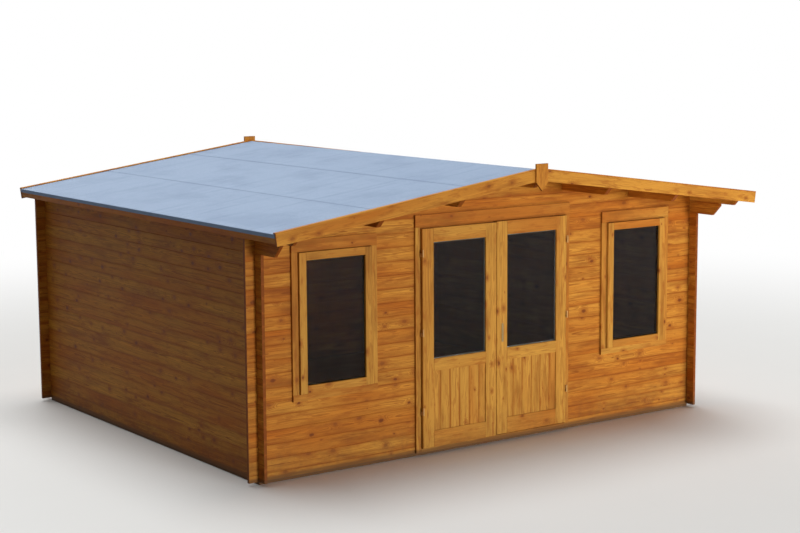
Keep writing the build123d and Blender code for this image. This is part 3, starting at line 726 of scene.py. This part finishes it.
def side_log(course, y0, chamfer=0.0):
    """Outline of one side log: its middle half alone goes through the walls it crosses."""
    z0 = BASE_Z + course * LOG_H
    z1 = z0 + LOG_H

    def lower(y, middle):
        foot = z0 + np.clip(chamfer - (y - y0), 0, None)
        return np.where(within(middle, FRONT, BACK), z0 + NOTCH, foot)

    def upper(y, middle):
        return np.where(within(middle, FRONT, BACK), z1 - NOTCH, z1)

    breaks = [y0, y0 + chamfer, *FRONT, *BACK, STUB_Y1]
    return stretches(breaks, lower, upper), (z0, z1)


def cross_log(course, x0, x1, hole=None, pockets=()):
    """Outlines of one log of the front or back wall or of a gable, under the roof.

    hole is (x0, x1, z0, z1) of a window, and pockets are (x0, x1, z) of what a purlin takes.
    """
    z0 = max(BASE_Z, BASE_Z + (course - 0.5) * LOG_H)
    z1 = BASE_Z + (course + 0.5) * LOG_H
    centre = BASE_Z + course * LOG_H

    def lower(x, middle):
        return np.where(within(np.abs(middle), WALL), max(z0, centre - NOTCH), z0)

    def upper(x, middle):
        top = np.where(within(np.abs(middle), WALL), centre + NOTCH, z1)
        top = np.minimum(top, roof_z(x))
        if hole and hole[2] < centre < hole[3]:
            top = np.where(within(middle, hole[:2]), z0, top)
        for *pocket, z in pockets:
            top = np.where(within(middle, pocket), np.minimum(top, z), top)
        return top

    under_roof = [(RIDGE_Z - z) / RISE for z in (z0, z1, centre + NOTCH)]
    breaks = [sign * x for sign in (-1, 1) for x in (0.0, *WALL, *under_roof)]
    breaks += [x0, x1] + list(hole[:2] if hole else ())
    breaks = np.array(breaks + [x for pocket in pockets for x in pocket[:2]])
    return stretches(breaks[(breaks >= x0) & (breaks <= x1)], lower, upper), (z0, z1)


def purlin_places():
    """The purlins' centre lines across the shed."""
    outer = edges("purlins")[1] - sizes().purlin_width / 2
    return [outer / 2 * step for step in range(-2, 3)]


def under_the_roof(points):
    """Points no higher than the underside of the roof boards."""
    points[:, 2] = np.minimum(points[:, 2], roof_z(points[:, 0]))
    return points


class SHED_OT_log_walls(bpy.types.Operator):
    """Log walls, corbels and gables, each log a timber of its own with its halving notches"""

    bl_idname = "shed.log_walls"
    bl_label = "Log walls"

    def execute(self, context):
        size = sizes()

        def wall(name, node, side=1):
            return Timbers(name, "Stained logs", "shed", node, side=side)

        def lay_logs(timbers, logs, lay, depth, **more):
            outlines, levels = logs
            for outline in outlines:
                timbers.add(
                    outline, lay, depth, size.sawn_arris, joint_v=size.joint_v,
                    joints=[z for z in levels if z > BASE_Z], **more,
                )

        def cross_wall(piece, node, courses, limits, depth, side=1):
            with wall(piece, node, side) as logs:
                for course in courses:
                    lay_logs(logs, cross_log(course, *limits), ALONG_X, facing(depth))

        x0, x1, _, _, z0, z1 = edges("window_frame_right")
        hole = (x0 + size.lap, x1 - size.lap, z0 + size.lap, z1 - size.lap)
        front, below = (DOORWAY_X, STUB_X, hole), range(CROSS_COURSES)
        for side, name in SIDES:
            with wall(f"{name}_wall_logs", f"{name}_wall", side) as logs:
                for course in range(SIDE_COURSES_BELOW):
                    lay_logs(logs, side_log(course, STUB_Y0), ALONG_Y, WALL)

            node = f"{name}_top_logs"
            with wall(f"{name}_corbel_logs", node, side) as logs:
                tip, chamfer = FRONT_Y - LOWER_CORBEL_REACH, size.lower_corbel_chamfer
                lay_logs(logs, side_log(SIDE_COURSES_BELOW, tip, chamfer), ALONG_Y, WALL)
                tip, chamfer = edges(node)[2], size.upper_corbel_chamfer
                outlines, levels = side_log(SIDE_COURSES_BELOW + 1, tip, chamfer)
                for outline in outlines:
                    outline[outline[:, 1] > SIDE_TOP - SAME_POINT, 1] += LOG_T * RISE
                lay_logs(logs, (outlines, levels[:1]), ALONG_Y, WALL, shape=under_the_roof)
            cross_wall(f"{name}_front_logs", f"front_wall_{name}", below, front, FRONT, side)

        cross_wall("back_wall_logs", "back_wall", below, (-STUB_X, STUB_X), BACK)
        half = size.purlin_width / 2
        pockets = [(x - half, x + half, roof_z(x) - size.purlin_depth) for x in purlin_places()]
        above = range(CROSS_COURSES, int((RIDGE_Z - BASE_Z) / LOG_H + 0.5) + 1)
        for end, depth in (("front", FRONT), ("back", BACK)):
            limits = (-STUB_X, STUB_X, None, pockets)
            cross_wall(f"{end}_gable_logs", f"{end}_gable", above, limits, depth)
        return {"FINISHED"}


class SHED_OT_roof_timbers(bpy.types.Operator):
    """Purlins with slanted feet, and the roof boards on them"""

    bl_idname = "shed.roof_timbers"
    bl_label = "Roof timbers"

    def execute(self, context):
        size = sizes()
        half, chamfer = size.purlin_width / 2, size.purlin_chamfer
        # The purlins' redder tint is painted warm light bounced onto them from the stained wood
        with Timbers("roof_purlins", "Stained logs", "shed", "purlins", warmth=0.45) as purlins:
            for x in purlin_places():
                foot, top = roof_z(x) - size.purlin_depth, roof_z(max(abs(x) - half, 0))
                outline = (
                    (ROOF_Y0 + chamfer, foot), (ROOF_Y1, foot), (ROOF_Y1, top), (ROOF_Y0, top),
                    (ROOF_Y0, foot + chamfer),
                )
                depth = (x - half, x + half)
                purlins.add(outline, ALONG_Y, depth, size.arris, shape=under_the_roof)

        eave_end, _ = eave_places()
        for side, name in SIDES:
            node = f"roof_boards_{name}"
            with Timbers(f"{name}_roof_deck", "Plain boards", "shed", node, side=side) as deck:
                for width in side_by_side(ROOF_Y0, ROOF_Y1, size.board_w):
                    deck.bar(
                        SLOPE_BOARD, (-size.board_v, eave_end), width, (0, size.roof_board_t),
                        size.sawn_arris, origin=RIDGE, joints=width, joint_v=size.board_v,
                        shape=clear_of_the_ridge,
                    )
        return {"FINISHED"}


def eave_places():
    """How far down the slope the boards end, and the top of the felt above their underside."""
    top = sizes().roof_board_t + FELT_ROOM
    return (EAVE_X - top * sin(PITCH)) / cos(PITCH) - FELT_ROOM, top


def clear_of_the_ridge(points):
    """Points no further over the ridge than its upright plane."""
    points[..., 0] = np.maximum(points[..., 0], 0)
    return points


class SHED_OT_base(bpy.types.Operator):
    """Treated bearers and joists, and the floor boards on them"""

    bl_idname = "shed.base"
    bl_label = "Base"

    def execute(self, context):
        size = sizes()
        x0, x1, y0, y1, z0, z1 = edges("bearers")
        width, arris, height = size.bearer_w, size.sawn_arris, (z0, z1)
        inner = x1 - width
        with Timbers("base_bearers", "Treated timber", "shed", "bearers") as bearers:
            for side_x in (x0, inner):
                bearers.bar(ALONG_Y, (y0, y1), height, (side_x, side_x + width), arris)
            for cross_y in (y0, y1 - width):
                depth = facing((cross_y, cross_y + width))
                bearers.bar(ALONG_X, (-inner, inner), height, depth, arris)
            for mid in np.linspace(-inner, inner, size.joists + 2)[1:-1]:
                depth = (mid - width / 2, mid + width / 2)
                bearers.bar(ALONG_Y, (y0 + width, y1 - width), height, depth, arris)

        x0, x1, y0, y1, z0, z1 = edges("floor_boards")
        with Timbers("floor_deck", "Plain boards", "shed", "floor_boards") as deck:
            for width in side_by_side(y0, y1, size.board_w):
                deck.bar(FLAT, (x0, x1), width, (z0, z1), arris)
        return {"FINISHED"}


class SHED_OT_roof_edge(bpy.types.Operator):
    """Eave trims, barge boards with their capping strips, and the finials at the ridge"""

    bl_idname = "shed.roof_edge"
    bl_label = "Roof edge"

    def execute(self, context):
        size = sizes()
        eave_end, felt_top = eave_places()

        def edge(name, node, side=1):
            return Timbers(name, "Roof edge pine", "shed", node, side=side)

        def strip(timbers, foot, head, depth):
            """A strip down the slope between two heights, cut plumb at the ridge."""
            end = eave_end + FELT_ROOM
            outline = ((-foot * RISE, foot), (end, foot), (end, head), (-head * RISE, head))
            timbers.add(outline, EDGE_BOARD, facing(depth), size.arris, origin=RIDGE)

        with edge("eave_boards", "eave_trims") as trims:
            for side, _ in SIDES:
                trims.side = side
                trims.bar(
                    EAVE_BOARD, (ROOF_Y0, ROOF_Y1), (-size.eave_trim_h, 0),
                    (eave_end - size.eave_trim_t, eave_end), size.arris, origin=RIDGE,
                )

        front, back = edges("barge_caps")[2:4]
        ends = (("front", (front, front + size.cap_w)), ("back", (back - size.cap_w, back)))
        with edge("capping_strips", "barge_caps") as caps:
            for end, cap_depth in ends:
                for side, name in SIDES:
                    node = f"{end}_barge_{name}"
                    with edge(f"{end}_{name}_barge_board", node, side) as barge:
                        strip(barge, felt_top - size.barge_h, felt_top, edges(node)[2:4])
                    caps.side = side
                    strip(caps, felt_top, felt_top + size.cap_h, cap_depth)
                x0, x1, *depth, z0, z1 = edges(f"{end}_finial")
                shoulder = z0 + size.finial_point
                outline = ((x0, shoulder), (0, z0), (x1, shoulder), (x1, z1), (x0, z1))
                with edge(f"{end}_finial_block", f"{end}_finial") as finial:
                    finial.add(outline, ALONG_X, facing(depth), size.arris, grain=1)
        return {"FINISHED"}


def felt_profile():
    """The felt across the slope: from the ridge down, round the eave, and back underneath.

    Returns its points, as places down the slope and out of it, the share of the waves that each
    takes, and the share of dark in each: a line along each lap's edge, which is a bitumen bead with
    painted shade under the step, and painted shade on the fold under the eave.
    """
    size = sizes()
    eave_end, _ = eave_places()
    last = eave_end + FELT_ROOM
    deck, top = size.roof_board_t, size.roof_board_t + size.felt_t
    laps = [eave_end - size.felt_strip * step for step in (1, 2)]
    bend, cut, climb, fading = 0.004, 0.0004, 0.02, 0.15
    # The third darkens the line along each lap's edge: a bitumen bead with painted shade under the
    # step. The fourth is painted shade on the fold under the eave.
    places, bend_places, lap_dark, fold_shade = 60, 6, 0.15, 0.45

    down = [*np.linspace(0, last - 1.5 * bend, places)]
    for lap in laps:
        start = lap - size.felt_lap
        down += [lap - cut, lap + cut, start - climb, start + climb]
    down = np.sort(down)
    lift = np.full(len(down), size.felt_t)
    dark = np.zeros(len(down))
    for lap in laps:
        on_lap = np.clip((down - lap + size.felt_lap + climb) / (2 * climb), 0, 1)
        lift += size.felt_t * on_lap * (down < lap)
        dark += lap_dark * (np.abs(down - lap) < 2 * cut)
    waves = np.clip((last - down) / fading, 0, 1)
    down[0] = -top * RISE

    turn = np.linspace(pi / 2, 0, bend_places)
    round_eave = np.stack([last - bend + bend * np.cos(turn), top - bend + bend * np.sin(turn)], 1)
    foot = -size.felt_fold
    under = [(last, foot), (eave_end, foot), (eave_end, deck), (-deck * RISE, deck)]
    profile = np.concatenate([np.stack([down, deck + lift], 1), round_eave, under])
    rest = np.zeros(len(profile) - len(down))
    # Painted shade on the fold under the eave
    dark = np.concatenate([dark, rest]) + np.where(profile[:, 1] < deck, fold_shade, 0.0)
    return profile, np.concatenate([waves, rest]), dark


def swept_felt(profile, waves, along, name):
    """The felt's closed surface: its profile across the slope, carried along the shed.

    Each point is lifted by three crossing sine waves of the place down the slope and along the
    shed, which die out at the eave and the ends.
    """
    random = np.random.default_rng(zlib.crc32(name.encode()))
    down, out = profile.T
    lift = np.zeros((len(along), len(profile)))
    for down_rate, along_rate in ((9.0, 2.1), (4.0, 5.3), (17.0, 1.2)):
        phase = random.uniform(0, 2 * pi)
        lift += np.sin(down * down_rate + along[:, None] * along_rate + phase) / 3
    fading = 0.10
    still_ends = np.clip(np.minimum(along - ROOF_Y0, ROOF_Y1 - along) / fading, 0, 1)
    out = out + (1 + lift) / 2 * waves * still_ends[:, None]
    points = np.stack([
        down * cos(PITCH) + out * sin(PITCH),
        np.broadcast_to(along[:, None], out.shape),
        RIDGE_Z - down * sin(PITCH) + out * cos(PITCH),
    ], 2)
    index = np.arange(out.size).reshape(out.shape)
    after = np.roll(index, -1, 1)
    quads = np.stack([index[:-1], index[1:], after[1:], after[:-1]], 2)
    faces = quads.reshape(-1, 4).tolist()
    return points, faces + [index[0].tolist(), index[-1][::-1].tolist()]


class SHED_OT_felt(bpy.types.Operator):
    """Roofing felt in strips that lap down the slope and fold over the eave"""

    bl_idname = "shed.felt"
    bl_label = "Roofing felt"

    def execute(self, context):
        profile, waves, dark = felt_profile()
        places = 121
        along = np.linspace(ROOF_Y0, ROOF_Y1, places)
        for side, name in SIDES:
            points, faces = swept_felt(profile, waves * sizes().felt_wave, along, name)
            points = clear_of_the_ridge(points) * (side, 1, 1)
            carried = (
                ("dark_edge", "POINT", np.tile(dark, places)),
                ("down", "POINT", np.tile(profile[:, 0], places)),
            )
            dress(
                f"{name}_felt_strips", points.reshape(-1, 3), [face[::side] for face in faces],
                carried, "Roofing felt", "shed", [f"roof_felt_{name}"],
            )
        return {"FINISHED"}


# Frames, windows and doors

def joinery(name, node, body="shed", **more):
    """Timbers of a frame, a casement or a leaf."""
    return Timbers(name, "Joinery pine", body, node, **more)


def frame_layers(outer_y):
    """The three layers of a frame that clasps the logs: the limits in y of each."""
    thickness = sizes().frame_t
    return (outer_y, outer_y + thickness), FRONT, (FRONT_IN_Y, FRONT_IN_Y + thickness)


def grown(rect, margin):
    """Limits x0, x1, z0, z1 with each moved out by a margin."""
    x0, x1, z0, z1 = rect
    return x0 - margin, x1 + margin, z0 - margin, z1 + margin


def four_bars(timbers, outer, inner, depth, arris, rails_across=True):
    """Four timbers round an opening, between two rectangles. Rails or stiles run through."""
    x0, x1, z0, z1 = outer
    in_x0, in_x1, in_z0, in_z1 = inner
    rail_x = (x0, x1) if rails_across else (in_x0, in_x1)
    stile_z = (in_z0, in_z1) if rails_across else (z0, z1)
    for height in ((z0, in_z0), (in_z1, z1)):
        timbers.bar(ALONG_X, rail_x, height, facing(depth), arris, warmer=0.30)
    for across in ((x0, in_x0), (in_x1, x1)):
        timbers.bar(UPRIGHT, stile_z, across, depth, arris)


def flat_edges(node):
    """A solid's limits in x and z, taken on the right side of the shed."""
    x0, x1, _, _, z0, z1 = edges(node)
    return (x0, x1, z0, z1) if x0 > 0 else (-x1, -x0, z0, z1)


def pane_spacer(pane, name, side, body):
    """The grey bars that hold the two sheets of a pane apart, just in sight round its edge."""
    size = sizes()
    clear, arris = 0.001, 0.0004
    y0, y1 = edges(pane)[2:4]
    outer = grown(flat_edges(pane), -clear)
    inner = grown(flat_edges(pane), -(size.glass_tongue + size.spacer))
    with Timbers(name, "Spacer bars", body, side=side) as bars:
        four_bars(bars, outer, inner, (y0 + size.glass_t, y1 - size.glass_t), arris)


class SHED_OT_door_frame(bpy.types.Operator):
    """Jambs, head and threshold, each a board outside the logs, a core and a board inside"""

    bl_idname = "shed.door_frame"
    bl_label = "Door frame"

    def execute(self, context):
        size = sizes()
        stop_x, frame_x, outer_y, _, foot, board_top = edges("door_jamb_right")
        board_x = stop_x + size.stop_lap + size.edge_gap
        _, _, _, _, stop_z, head_top = edges("door_head")
        sill_top = edges("door_threshold")[5]

        # Outside, core and inside board: limits along the grain and across it
        jamb = (
            ((foot, board_top), (board_x, frame_x)), ((foot, stop_z), (stop_x, DOORWAY_X)),
            ((foot, stop_z), (stop_x, frame_x)),
        )
        head = (
            ((-frame_x, frame_x), (board_top, head_top)),
            ((-DOORWAY_X, DOORWAY_X), (stop_z, FRONT_TOP)),
            ((-frame_x, frame_x), (stop_z, head_top)),
        )
        sill = (
            ((-board_x, board_x), (foot, sill_top - size.stop_lap)),
            ((-stop_x, stop_x), (foot, sill_top)), ((-stop_x, stop_x), (foot, sill_top)),
        )
        for piece, node, side, warmth, parts in (
            ("right_door_jamb", "door_jamb_right", 1, -0.05, jamb),
            ("left_door_jamb", "door_jamb_left", -1, -0.05, jamb),
            ("door_head", "door_head", 1, 0.35, head),
            ("door_threshold", "door_threshold", 1, 0.0, sill),
        ):
            with joinery(f"{piece}_timbers", node, side=side, warmth=warmth) as timbers:
                for (along, across), depth in zip(parts, frame_layers(outer_y)):
                    if parts is jamb:
                        timbers.bar(UPRIGHT, along, across, depth, size.arris)
                    else:
                        timbers.bar(ALONG_X, along, across, facing(depth), size.arris)
        return {"FINISHED"}


class SHED_OT_windows(bpy.types.Operator):
    """Window frames that clasp the logs, casements of mortised bars, and the panes' spacer bars"""

    bl_idname = "shed.windows"
    bl_label = "Windows"

    def execute(self, context):
        size = sizes()
        for side, name in SIDES:
            node = f"window_frame_{name}"
            board, shut = flat_edges(node), flat_edges(f"casement_{name}")
            stop = grown(shut, -size.stop_lap)
            parts = (
                (board, grown(shut, size.casement_gap)), (grown(board, -size.lap), stop),
                (board, stop),
            )
            window = joinery(f"{name}_window_frame_timbers", node, side=side, warmth=-0.12)
            with window as timbers:
                for (outer, inner), depth in zip(parts, frame_layers(edges(node)[2])):
                    four_bars(timbers, outer, inner, depth, size.arris)

            node = f"casement_{name}"
            pane, depth = grown(shut, -size.casement_bar), edges(node)[2:4]
            with joinery(f"{name}_casement_bars", node, side=side, warmth=-0.15) as casement:
                four_bars(casement, shut, pane, depth, size.arris, rails_across=False)
            pane_spacer(f"window_glass_{name}", f"{name}_window_spacers", side, "shed")
        return {"FINISHED"}


class SHED_OT_door_leaves(bpy.types.Operator):
    """Two half-glazed leaves: stiles, three rails, a panel of upright boards, and spacer bars"""

    bl_idname = "shed.door_leaves"
    bl_label = "Door leaves"

    def execute(self, context):
        size = sizes()
        for side, name in SIDES:
            body, node = f"{name}_leaf", f"{name}_door_leaf"
            x0, x1, z0, z1 = flat_edges(node)
            depth = y0, y1 = edges(node)[2:4]
            open_x0, open_x1 = x0 + size.stile, x1 - size.stile
            pane_z1 = z1 - size.top_rail
            pane_z0 = pane_z1 - size.leaf_pane
            panel_z0, panel_z1 = z0 + size.bottom_rail, pane_z0 - size.mid_rail

            def lean(points):
                """The meeting edge leaning back, from the face to the back of the leaf."""
                back = (points[:, 1] - y0) / (y1 - y0)
                meets = points[:, 0] < x0 + size.stile / 2
                points[:, 0] += np.where(meets, back * size.meeting_bevel, 0)
                return points

            with joinery(f"{name}_leaf_timbers", node, body, side=side, warmth=-0.25) as leaf:
                leaf.bar(UPRIGHT, (z0, z1), (x0, open_x0), depth, size.arris, shape=lean)
                leaf.bar(UPRIGHT, (z0, z1), (open_x1, x1), depth, size.arris)
                for *height, warmer in (
                    (z0, panel_z0, 0.05), (panel_z1, pane_z0, 0.05), (pane_z1, z1, 0.30),
                ):
                    leaf.bar(
                        ALONG_X, (open_x0, open_x1), height, facing(depth), size.arris,
                        warmer=warmer,
                    )

            node = f"{name}_door_panel"
            depth, tongue = edges(node)[2:4], size.panel_tongue
            reach = int((open_x1 - open_x0) / 2 / size.panel_board_w)
            joints = (open_x0 + open_x1) / 2 + size.panel_board_w * np.arange(-reach, reach + 1)
            limits = [open_x0 - tongue, *joints, open_x1 + tongue]
            # The panel's joints are darkened twice as strongly: more painted shade in the V between
            # its boards
            boards = joinery(
                f"{name}_panel_boards", node, body, side=side, warmth=-0.22, joint_strength=2.0,
            )
            with boards as panel:
                for across in zip(limits[:-1], limits[1:]):
                    panel.bar(
                        UPRIGHT, (panel_z0 - tongue, panel_z1 + tongue), across, depth,
                        size.sawn_arris, joints=joints, joint_v=size.board_v,
                    )
            pane_spacer(f"{name}_door_glass", f"{name}_leaf_spacers", side, body)
        return {"FINISHED"}


# Solids of the frame that keep their shape

def cover(made, *nodes):
    """Gives solids from the frame their material."""
    for node in nodes:
        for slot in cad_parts[node].material_slots:
            slot.material = made


class SHED_OT_ironwork(bpy.types.Operator):
    """Zinc finish on the hinges and the lock plate"""

    bl_idname = "shed.ironwork"
    bl_label = "Ironwork"

    def execute(self, context):
        cover(material("Zinc", metal, "zinc", 0.35, 0.55, 0.55), "lock_plate")
        # The hinges take a brighter copy of the zinc: a painted highlight
        cover(
            material("Bright zinc", metal, "hinge", 0.20, 0.50, 0.35),
            "hinge_pins", "left_hinge_sleeves", "right_hinge_sleeves",
        )
        return {"FINISHED"}


class SHED_OT_glass(bpy.types.Operator):
    """Clear glass with faint smears"""

    bl_idname = "shed.glass"
    bl_label = "Glass"

    def execute(self, context):
        for _, name in SIDES:
            cover(material("Clear glass", glass), f"window_glass_{name}", f"{name}_door_glass")
        return {"FINISHED"}


# Stage

def seen_directly(tree):
    """1 on rays from the camera, from gloss and through glass, and 0 on rays that carry light."""
    rays = tree.node("LightPath").outputs
    seen = tree.math("MAXIMUM", rays["Is Camera Ray"], rays["Is Glossy Ray"])
    return tree.math("MAXIMUM", seen, rays["Is Transmission Ray"])


def pale_floor(tree):
    """A mottled floor that throws about less light than it shows."""
    tone = colours().floor
    darker, dull = ([part * factor for part in tone] for factor in (0.985, 0.30))
    pale = tree.coats(tone, (tree.noise(tree.spot(), 1.5), darker))
    return {
        "Base Color": tree.coats(dull, (seen_directly(tree), pale)),
        "Roughness": 0.9, "Specular IOR Level": 0.1,
    }


def studio_floor():
    """A pale disc that fades into the white surroundings and lets the low light through."""
    radius, corners, below, fade = 80, 96, 0.0005, (4.5, 13.0)
    turn = np.linspace(0, 2 * pi, corners + 1)[:-1]
    rim = np.stack([radius * np.cos(turn), radius * np.sin(turn), 0 * turn - below], 1)
    mesh = bpy.data.meshes.new("Studio_floor")
    mesh.from_pydata(rim.tolist(), [], [list(range(corners))])
    made = material("Studio floor", pale_floor)
    mesh.materials.append(made)
    tree, nodes = Tree(made.node_tree), made.node_tree.nodes
    away = tree.node("VectorMath", {0: tree.spot()}, operation="LENGTH").outputs["Value"]
    white = tree.node("Emission", {"Strength": seen_directly(tree)})
    both = tree.node("MixShader", {
        0: tree.ramp(away, *fade), 1: nodes["Principled BSDF"].outputs[0], 2: white.outputs[0],
    })
    tree.fill(nodes["Material Output"], {"Surface": both.outputs[0]})
    floor = bpy.data.objects.new("Studio_floor", mesh)
    floor.visible_shadow = False
    return floor


def new_light(name, kind, power, place, aim, **settings):
    """A light at a place, turned to another."""
    lamp = bpy.data.lights.new(name, kind)
    lamp.energy = power
    for key, value in settings.items():
        setattr(lamp, key, value)
    light = bpy.data.objects.new(name, lamp)
    light.location = place
    light.rotation_euler = (Vector(aim) - light.location).to_track_quat("-Z", "Y").to_euler()
    return light


class SHED_OT_stage(bpy.types.Operator):
    """Camera, soft lights, pale floor and white surroundings"""

    bl_idname = "shed.stage"
    bl_label = "Stage"

    def execute(self, context):
        scene = context.scene
        studio = scene.shed_studio
        data = bpy.data.cameras.new("Camera")
        data.lens, data.sensor_width, data.sensor_fit = studio.lens, 36, "HORIZONTAL"
        data.clip_end = 200
        camera = bpy.data.objects.new("Camera", data)
        camera.matrix_world = (
            Matrix.Translation((studio.camera_x, studio.camera_y, studio.camera_z))
            @ Matrix.Rotation(-studio.yaw, 4, "Z") @ Matrix.Rotation(pi / 2 + studio.tilt, 4, "X")
            @ Matrix.Rotation(studio.roll, 4, "Z")
        )
        scene.camera = camera

        made = [camera]
        # Suns: strength, degrees across, and the side that each shines from
        for name, power, angle, place in (
            ("Front light", studio.key, 16, (1.8, -10, 0.9)),
            ("Bounce light", studio.bounce, 56, (3.0, -10, -5.0)),
            ("Top light", studio.top, 44, (0.5, 0.8, 8)),
            ("Back light", studio.back, 50, (1.5, 10, 3)),
        ):
            made.append(new_light(name, "SUN", power, place, (0, 0, 0), angle=radians(angle)))
        # Lamps below the floor: power, degrees of spread, place and aim
        for name, power, spread, place, aim in (
            ("Low light", studio.low, 180, (4.6, -5.2, -1.2), (2.2, -2.0, 0.9)),
            ("Eaves light", studio.eaves, 50, (-2.2, -5.0, -1.2), (1.9, -2.4, 2.2)),
        ):
            light = new_light(
                name, "AREA", power, place, aim, shape="DISK", size=2.4, spread=radians(spread),
            )
            light.visible_camera = light.visible_glossy = light.visible_transmission = False
            made.append(light)
        for piece in (*made, studio_floor()):
            scene.collection.objects.link(piece)

        world = bpy.data.worlds.new("Surroundings")
        world.use_nodes = True
        scene.world = world
        world.node_tree.nodes.clear()
        tree = Tree(world.node_tree)
        strength = tree.plus(studio.fill, (seen_directly(tree), 1.0 - studio.fill))
        back = tree.node("Background", {"Color": (1, 1, 1), "Strength": strength})
        tree.node("OutputWorld", {"Surface": back.outputs[0]})
        scene.view_settings.view_transform = "Standard"
        return {"FINISHED"}


class SHED_PT_panel(bpy.types.Panel):
    """The shed's operators and settings"""

    bl_label = "Garden shed"
    bl_idname = "SHED_PT_panel"
    bl_space_type = "VIEW_3D"
    bl_region_type = "UI"
    bl_category = "Shed"

    def draw(self, context):
        for operator in OPERATORS:
            self.layout.operator(operator.bl_idname)
        for group_name, _ in GROUPS:
            group_made = getattr(context.scene, group_name)
            box = self.layout.box()
            for name in group_made.bl_rna.properties.keys():
                if name not in ("rna_type", "name"):
                    box.prop(group_made, name)


GROUPS = (
    ("shed_sizes", ShedSizes), ("shed_colours", ShedColours), ("shed_studio", ShedStudio),
)
OPERATORS = (
    SHED_OT_base, SHED_OT_log_walls, SHED_OT_roof_timbers, SHED_OT_roof_edge, SHED_OT_felt,
    SHED_OT_door_frame, SHED_OT_windows, SHED_OT_door_leaves, SHED_OT_glass, SHED_OT_ironwork,
    SHED_OT_stage,
)


def register():
    for name, settings in GROUPS:
        bpy.utils.register_class(settings)
        setattr(bpy.types.Scene, name, PointerProperty(type=settings))
    for part in OPERATORS + (SHED_PT_panel,):
        bpy.utils.register_class(part)


def unregister():
    for part in reversed(OPERATORS + (SHED_PT_panel,)):
        bpy.utils.unregister_class(part)
    for name, settings in reversed(GROUPS):
        delattr(bpy.types.Scene, name)
        bpy.utils.unregister_class(settings)


def main():
    register()
    for operator in OPERATORS:
        group_name, name = operator.bl_idname.split(".")
        getattr(getattr(bpy.ops, group_name), name)()


if __name__ == "__main__":
    main()
